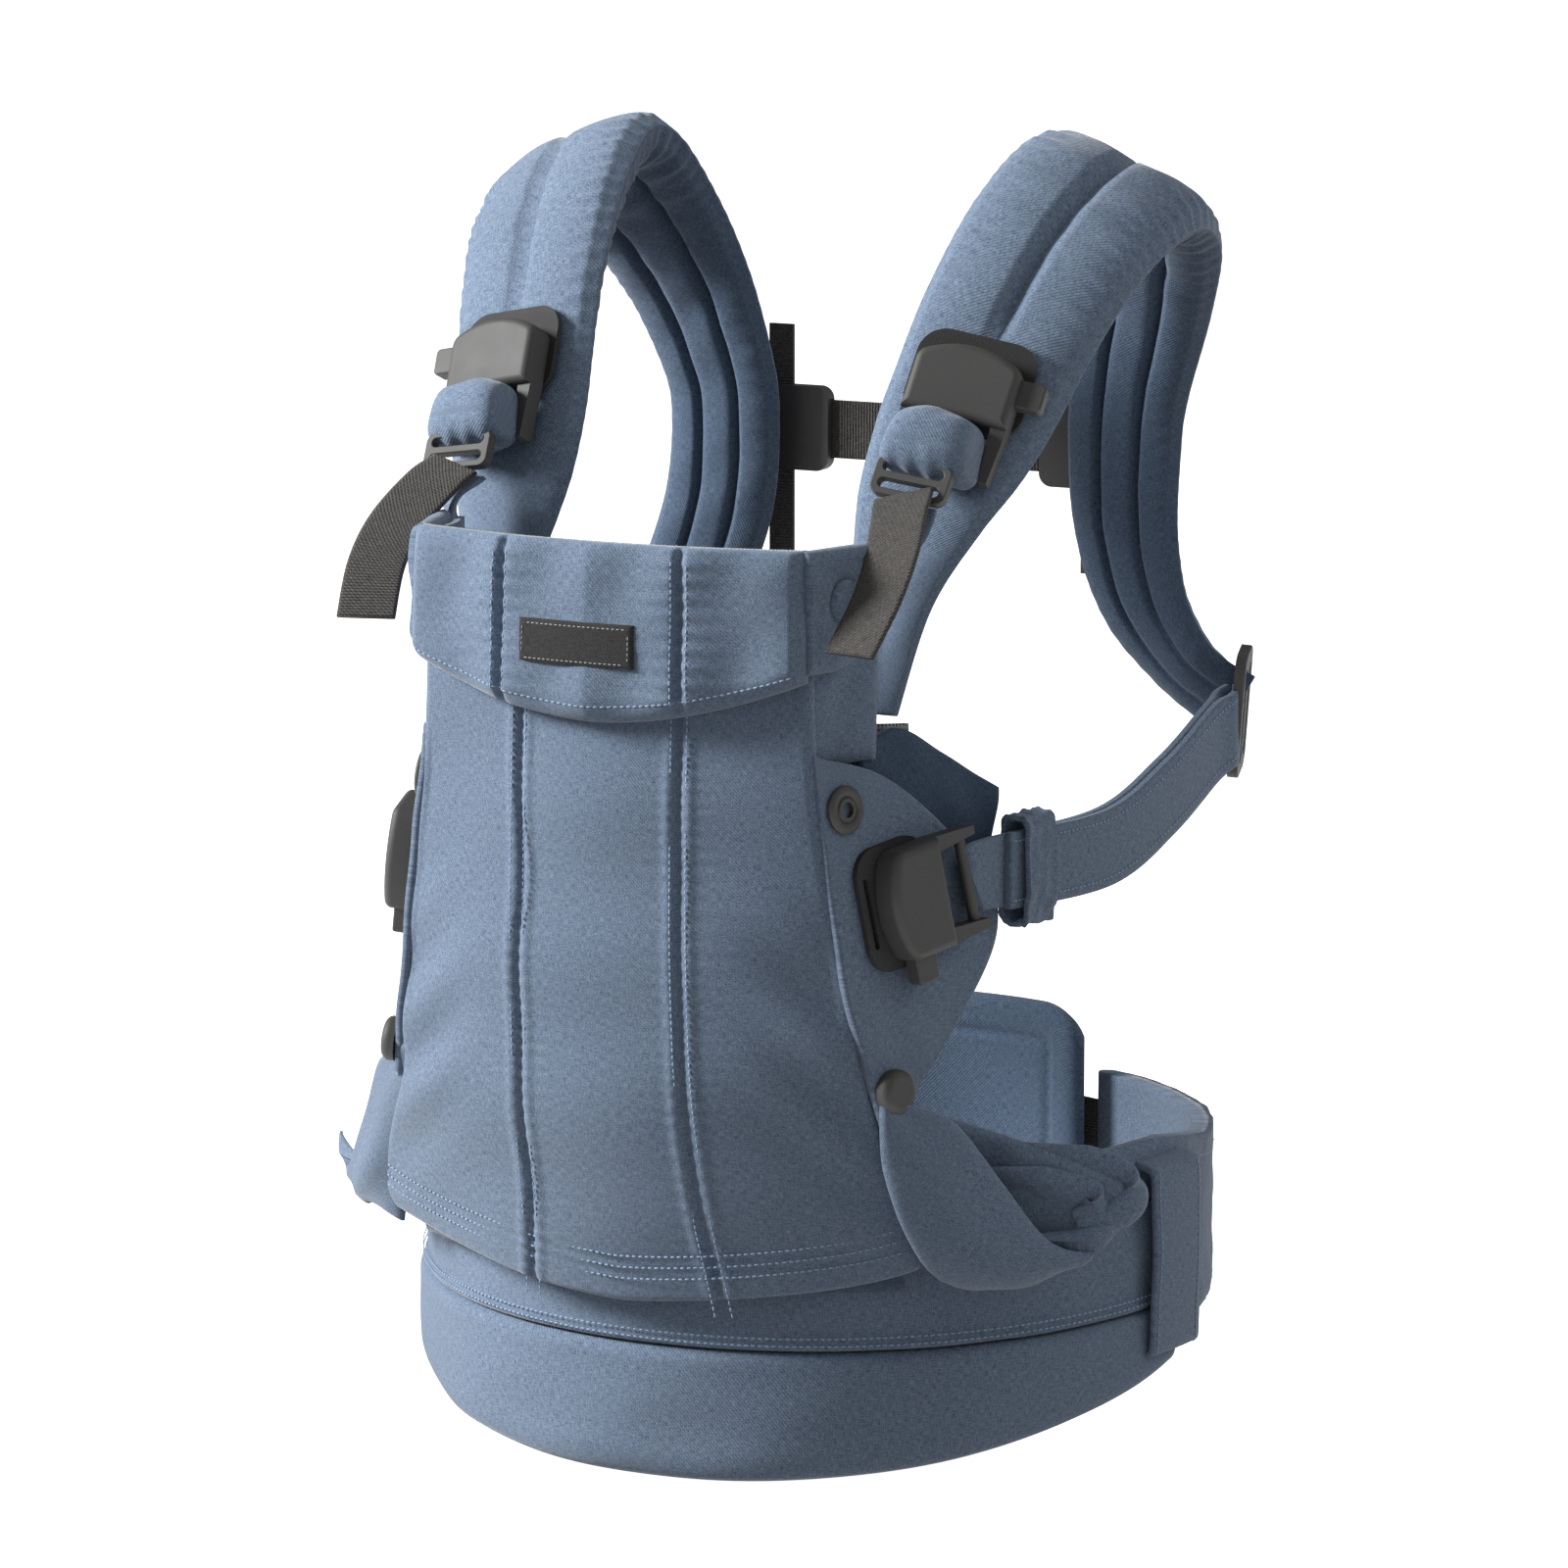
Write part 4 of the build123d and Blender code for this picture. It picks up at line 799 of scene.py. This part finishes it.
def pad_section(side_x, side_y):
    """The strap's section as it runs: two tubes on the outer face, three on the inner, with a sewn
    groove between each two, a pinched edge seam, and fine puckers beside the seams."""
    bend = np.exp(-((pad_run - 255) / 75) ** 2)
    outer = side_y > 0
    top = np.clip((pad_run - 130) / 40, 0, 1) * np.clip((run_mm[-1] - pad_run) / 60, 0, 1)
    groove_outer = 0.62 * np.exp(-(side_x / 0.055) ** 2) * np.clip((pad_run - 150) / 30, 0, 1)
    groove_inner = 0.55 * (np.exp(-((side_x - 0.34) / 0.05) ** 2)
                           + np.exp(-((side_x + 0.34) / 0.05) ** 2)) * top
    groove = np.where(outer, groove_outer * np.clip((run_mm[-1] - pad_run) / 60, 0, 1), groove_inner)
    tubes = np.where(outer, 0.12 * np.abs(np.sin(side_x * math.pi)),
                     0.10 * np.abs(np.cos(side_x * 1.5 * math.pi)))
    edge = 1 - 0.55 * np.clip((np.abs(side_x) - 0.88) / 0.12, 0, 1)
    phase = pad_run * 2 * math.pi / 8.5 + 2.2 * np.sin(pad_run / 19) + side_x * 4
    pucker = (0.06 + 0.16 * bend) * np.clip(np.abs(side_x) - 0.55, 0, 1) * 2 * np.sin(phase)
    crease = 0.10 * bend * np.where(outer, 0.3, 1.0) * np.sin(pad_run * 2 * math.pi / 19 + side_x * 2.5)
    soft = 0.05 * waves(pad_run, side_x * 40, 24, 120, 81)
    return side_y * (edge * (1 - groove + tubes) + pucker + crease + soft) * 1.06


for side, sign, flip in SIDES:
    count = len(run_mm)
    x = np.broadcast_to(section_x, (count, PAD_AROUND))
    y = np.broadcast_to(section_y, (count, PAD_AROUND))
    shape = np.stack([x, pad_section(x, y)], -1)
    rings = swept(stations[:, :3], stations[:, 5:8], stations[:, 3], stations[:, 4], shape) * flip
    made = tube(f"shoulder_pad_{side}", rings, twill, stands_for=[f"shoulder_pad_{side}"])
    # The faces towards the wearer take the darker twill: painted shade.
    made.data.materials.append(painted_shade_twill)
    inner_side = (section_y < -0.02) | (np.roll(section_y, -1) < -0.02)
    painted_shade_faces = np.broadcast_to(inner_side, (count - 1, PAD_AROUND)).ravel()
    made.data.polygons.foreach_set("material_index",
                                   np.concatenate([painted_shade_faces, [True, True]]).astype(np.int32))


# ---------------------------------------------------------------- buckles and straps at the shoulders
# Satin acetal buckles on sewn bases, with the padded loop, the webbing adjuster and its loose tail.

for side in ("left", "right"):
    for node in ("shoulder_buckle", "shoulder_release_tab", "ladder_lock", "side_buckle", "side_release_tab",
                 "hip_slider"):
        cad_finish(f"{node}_{side}", acetal)
# The dark plates under the buckles, with a coarse matt grain.
base_plate = moulded("dark_base_plate", "191919", 0.75, 0.8)
for node in ("shoulder_buckle_bases", "side_buckle_bases"):
    cad_finish(node, base_plate)
cad_finish("back_sliders", acetal)


def ribbon(name, path, across, width, thickness, material, body="carrier", stands_for=(),
           count=60, mirror=1):
    """A flat strap along a smooth path, with a rounded selvedge."""
    path = through(path, count)
    across = through(across, count)
    turn = np.linspace(0, 2 * math.pi, 25)[:-1]
    x = np.clip(np.cos(turn) * 1.25, -1, 1)
    y = np.clip(np.sin(turn) * 1.6, -1, 1)
    section = np.broadcast_to(np.stack([x, y], -1), (count, 24, 2))
    width = through(np.asarray(width, float)[:, None], count)[:, 0] if np.ndim(width) else np.full(count, width)
    rings = swept(path, across, width, np.full(count, thickness), section) * np.array([mirror, 1, 1])
    return tube(name, rings, material, body, stands_for)


for side, sign, _ in SIDES:
    ribbon(f"adjuster_tail_{side}",
           [(105, -138, 332), (109, -150, 326), (115, -170, 311), (116, -186, 295), (112, -202, 275)],
           [(0.97, -0.25, 0)] * 5, 25, 1.9, webbing, stands_for=[f"adjuster_tail_{side}"], mirror=sign)
    ribbon(f"anchor_strap_{side}",
           [(105, -133, 326), (105, -139, 318), (103, -143, 309), (101, -143, 297)],
           [(1, 0.1, 0), (0.75, 0.65, 0), (0.3, 0.95, 0), (0.3, 0.95, 0)], [24, 21, 18, 18], 2.5, twill,
           stands_for=["anchor_straps"], mirror=sign)
    ribbon(f"back_rail_{side}", [(77, 109.5, 265), (77, 109.5, 317), (77, 109.5, 368)], [(1, 0, 0)] * 3,
           12, 2,
           webbing, stands_for=["back_rails"], mirror=sign)
ribbon("back_strap", [(-63, 109.5, 322), (0, 109.5, 322), (63, 109.5, 322)], [(0, 0, 1)] * 3, 26, 2, webbing,
       body="back_strap", stands_for=["back_strap"])

shoulder_up = np.array([0.09, 0.48, 0.87])
shoulder_up = shoulder_up / np.linalg.norm(shoulder_up)
shoulder_out = np.array([0.96, 0.15, -0.22])
shoulder_out = shoulder_out - shoulder_up * (shoulder_out @ shoulder_up)
shoulder_out = shoulder_out / np.linalg.norm(shoulder_out)
shoulder_normal = np.cross(shoulder_out, shoulder_up)


def buckle_point(x, y, z):
    """A point in the shoulder buckle's own directions: x outwards, y up the strap, z off it."""
    x, y, z = np.broadcast_arrays(x, y, z)
    return (np.array([108.25, -84.6, 367.7]) + x[..., None] * shoulder_out + y[..., None] * shoulder_up
            + z[..., None] * shoulder_normal)


for side, sign, flip in SIDES:
    u = np.linspace(-1, 1, 60)[:, None]
    turn = np.linspace(0, 2 * math.pi, 49)[:-1][None, :]
    width = 17.5 * u
    gather = 0.22 * np.sin(u * 13 + 2 * np.sin(turn)) * np.clip(-np.sin(turn), 0, 1)
    gather = gather + 0.25 * waves(u * 17, turn * 8, 9, 24, 91)
    puff = (0.62 + 0.38 * np.clip(1 - np.abs(u) ** 3, 0, 1) ** 0.5) * (1 + 0.05 * gather)
    round_x = np.sign(np.cos(turn)) * np.abs(np.cos(turn)) ** 0.8
    round_y = np.sign(np.sin(turn)) * np.abs(np.sin(turn)) ** 0.8
    tall = np.where(round_y < 0, 14.5, 16.5) * puff * round_y * (1 + 0.10 * gather)
    deep = 15.5 * puff * round_x
    spread = 1 + 0.16 * np.clip(-tall / 16, 0, 1) - 0.06 * np.clip(tall / 16, 0, 1)
    rings = buckle_point(width * spread - 4 * (deep + 15) / 30, -31 + tall - 2 * (deep + 15) / 30,
                         18.5 + deep) * flip
    made = tube(f"padded_loop_{side}", rings, twill, stands_for=["padded_loops"])


# ---------------------------------------------------------------- side straps
# Fabric-covered straps from the side buckles to the hip sliders, folded back on themselves, with a
# gathered elastic keeper on each.

STRAP = [(128.2, -122.5, 172), (131, -110, 172.4), (145, -30, 172), (150, 22, 186), (150, 68, 201.5),
         (149.5, 83, 206), (152.5, 92.5, 209)]
RETURN = [(136.1, -102.7, 172.4), (149.2, -30.8, 172), (154.2, 21.2, 186), (154.5, 67.2, 201.5),
          (156.3, 83, 206), (153.2, 93, 209)]
for side, sign, _ in SIDES:
    ribbon(f"side_strap_{side}", STRAP, [(0, 0, 1)] * 7, [28, 30, 33, 33, 32, 32, 32], 3.4, twill,
           stands_for=[f"side_strap_{side}"], mirror=sign, count=120)
    ribbon(f"strap_return_{side}", RETURN, [(0, 0, 1)] * 6, [32, 33, 33, 33, 32, 32], 3.4, twill,
           stands_for=["strap_returns"], mirror=sign, count=120)
    rows = []
    line = through(RETURN, 100)
    for rise in (-12.5, 12.5):
        rows.append(((line + np.array([1.9, -0.4, rise])) * np.array([sign, 1, 1]),
                     np.array([sign * 1.0, -0.15, 0.0])))
    stitches(f"strap_return_stitches_{side}", rows, thread)
    flip = np.array([sign, 1, 1])
    u = np.linspace(0, 1, 30)[:, None]
    turn = np.linspace(0, 2 * math.pi, 73)[:-1][None, :]
    section_a = np.sign(np.cos(turn)) * np.abs(np.cos(turn)) ** 0.6
    section_b = np.sign(np.sin(turn)) * np.abs(np.sin(turn)) ** 0.6
    crumple = waves(u * 20, turn * 18, 7, 26, 95) * 0.9
    start = np.array([128.638, -119.858, 172.56])
    way = np.array([0.17914, 0.9838, -0.00613])
    out = np.array([0.9838, -0.17914, 0.0])
    middle = start + way * 35 + np.array([2.7, -0.5, -1])
    flare = 1 + 0.05 * (2 * u - 1) ** 2
    high = (23 * flare + crumple) * section_a
    wide = (7.9 * flare + 0.6 * crumple) * section_b
    up_way = np.array([0, 0, 1.0])
    base = middle + (u * 20 - 10)[..., None] * way
    rings = base + wide[..., None] * out + high[..., None] * up_way
    inner = base + (wide * 0.72)[..., None] * out + (high * 0.9)[..., None] * up_way
    body = f"strap_keeper_{side}"
    n, m = rings.shape[:2]
    both = np.concatenate([rings, inner[::-1]])
    index = np.arange(2 * n * m).reshape(2 * n, m)
    ahead = np.roll(index, -1, axis=0)
    beside = np.roll(index, -1, axis=1)
    corner = np.roll(ahead, -1, axis=1)
    faces = np.stack([index, beside, corner, ahead], -1).reshape(-1, 4).tolist()
    points = (both * flip).reshape(-1, 3)
    piece(body, points, faces, points[:, 1:], twill, body, [body])


# ---------------------------------------------------------------- floor, light and camera
# A plain white floor and a soft studio: one broad key light from the upper left and a rim light, with a dim
# white world as fill.

floor_mesh = bpy.data.meshes.new("floor")
reach = 40.0
floor_level = -0.0875
floor_mesh.from_pydata([(-reach, -reach, floor_level), (reach, -reach, floor_level),
                        (reach, reach, floor_level),
                        (-reach, reach, floor_level)], [], [(0, 1, 2, 3)])
floor = bpy.data.objects.new("floor", floor_mesh)
bpy.context.scene.collection.objects.link(floor)
floor_paint = bpy.data.materials.new("white_studio_floor")
floor_paint.use_nodes = True
floor_skin = floor_paint.node_tree.nodes["Principled BSDF"]
floor_skin.inputs["Base Color"].default_value = (0.88, 0.88, 0.88, 1)
floor_skin.inputs["Roughness"].default_value = 1.0
floor_skin.inputs["Specular IOR Level"].default_value = 0.0
floor_skin.inputs["Emission Color"].default_value = (1.0, 1.0, 1.0, 1)
floor_skin.inputs["Emission Strength"].default_value = 0.9
floor_mesh.materials.append(floor_paint)
# The floor sends no light back up, so the undersides stay dark.
floor.visible_diffuse = False

world = bpy.data.worlds.new("studio")
bpy.context.scene.world = world
world.use_nodes = True
world.node_tree.nodes["Background"].inputs["Color"].default_value = (1.0, 1.0, 1.0, 1)
world.node_tree.nodes["Background"].inputs["Strength"].default_value = 0.31


def lamp(name, place, target, size, power):
    """A square soft light at a place, facing a target, in metres and watts."""
    light = bpy.data.lights.new(name, "AREA")
    light.size = size
    light.energy = power
    made = bpy.data.objects.new(name, light)
    made.location = place
    way = Vector(target) - Vector(place)
    made.rotation_mode = "QUATERNION"
    made.rotation_quaternion = way.to_track_quat("-Z", "Y")
    bpy.context.scene.collection.objects.link(made)


lamp("key", (-2.6, -1.45, 1.7), (0, 0, 0.2), 1.0, 205)
lamp("rim", (1.9, 0.6, 1.9), (0, 0, 0.25), 1.0, 9)

camera_data = bpy.data.cameras.new("camera")
camera_data.lens = 169.2
camera_data.sensor_width = 36.0
camera = bpy.data.objects.new("camera", camera_data)
camera.location = (1.4146, -2.8161, 0.7377)
camera.rotation_mode = "QUATERNION"
camera.rotation_quaternion = (Vector((-0.01608, -0.00819, 0.18206)) - camera.location).to_track_quat("-Z", "Y")
bpy.context.scene.collection.objects.link(camera)
bpy.context.scene.camera = camera
bpy.context.scene.view_settings.view_transform = "Standard"
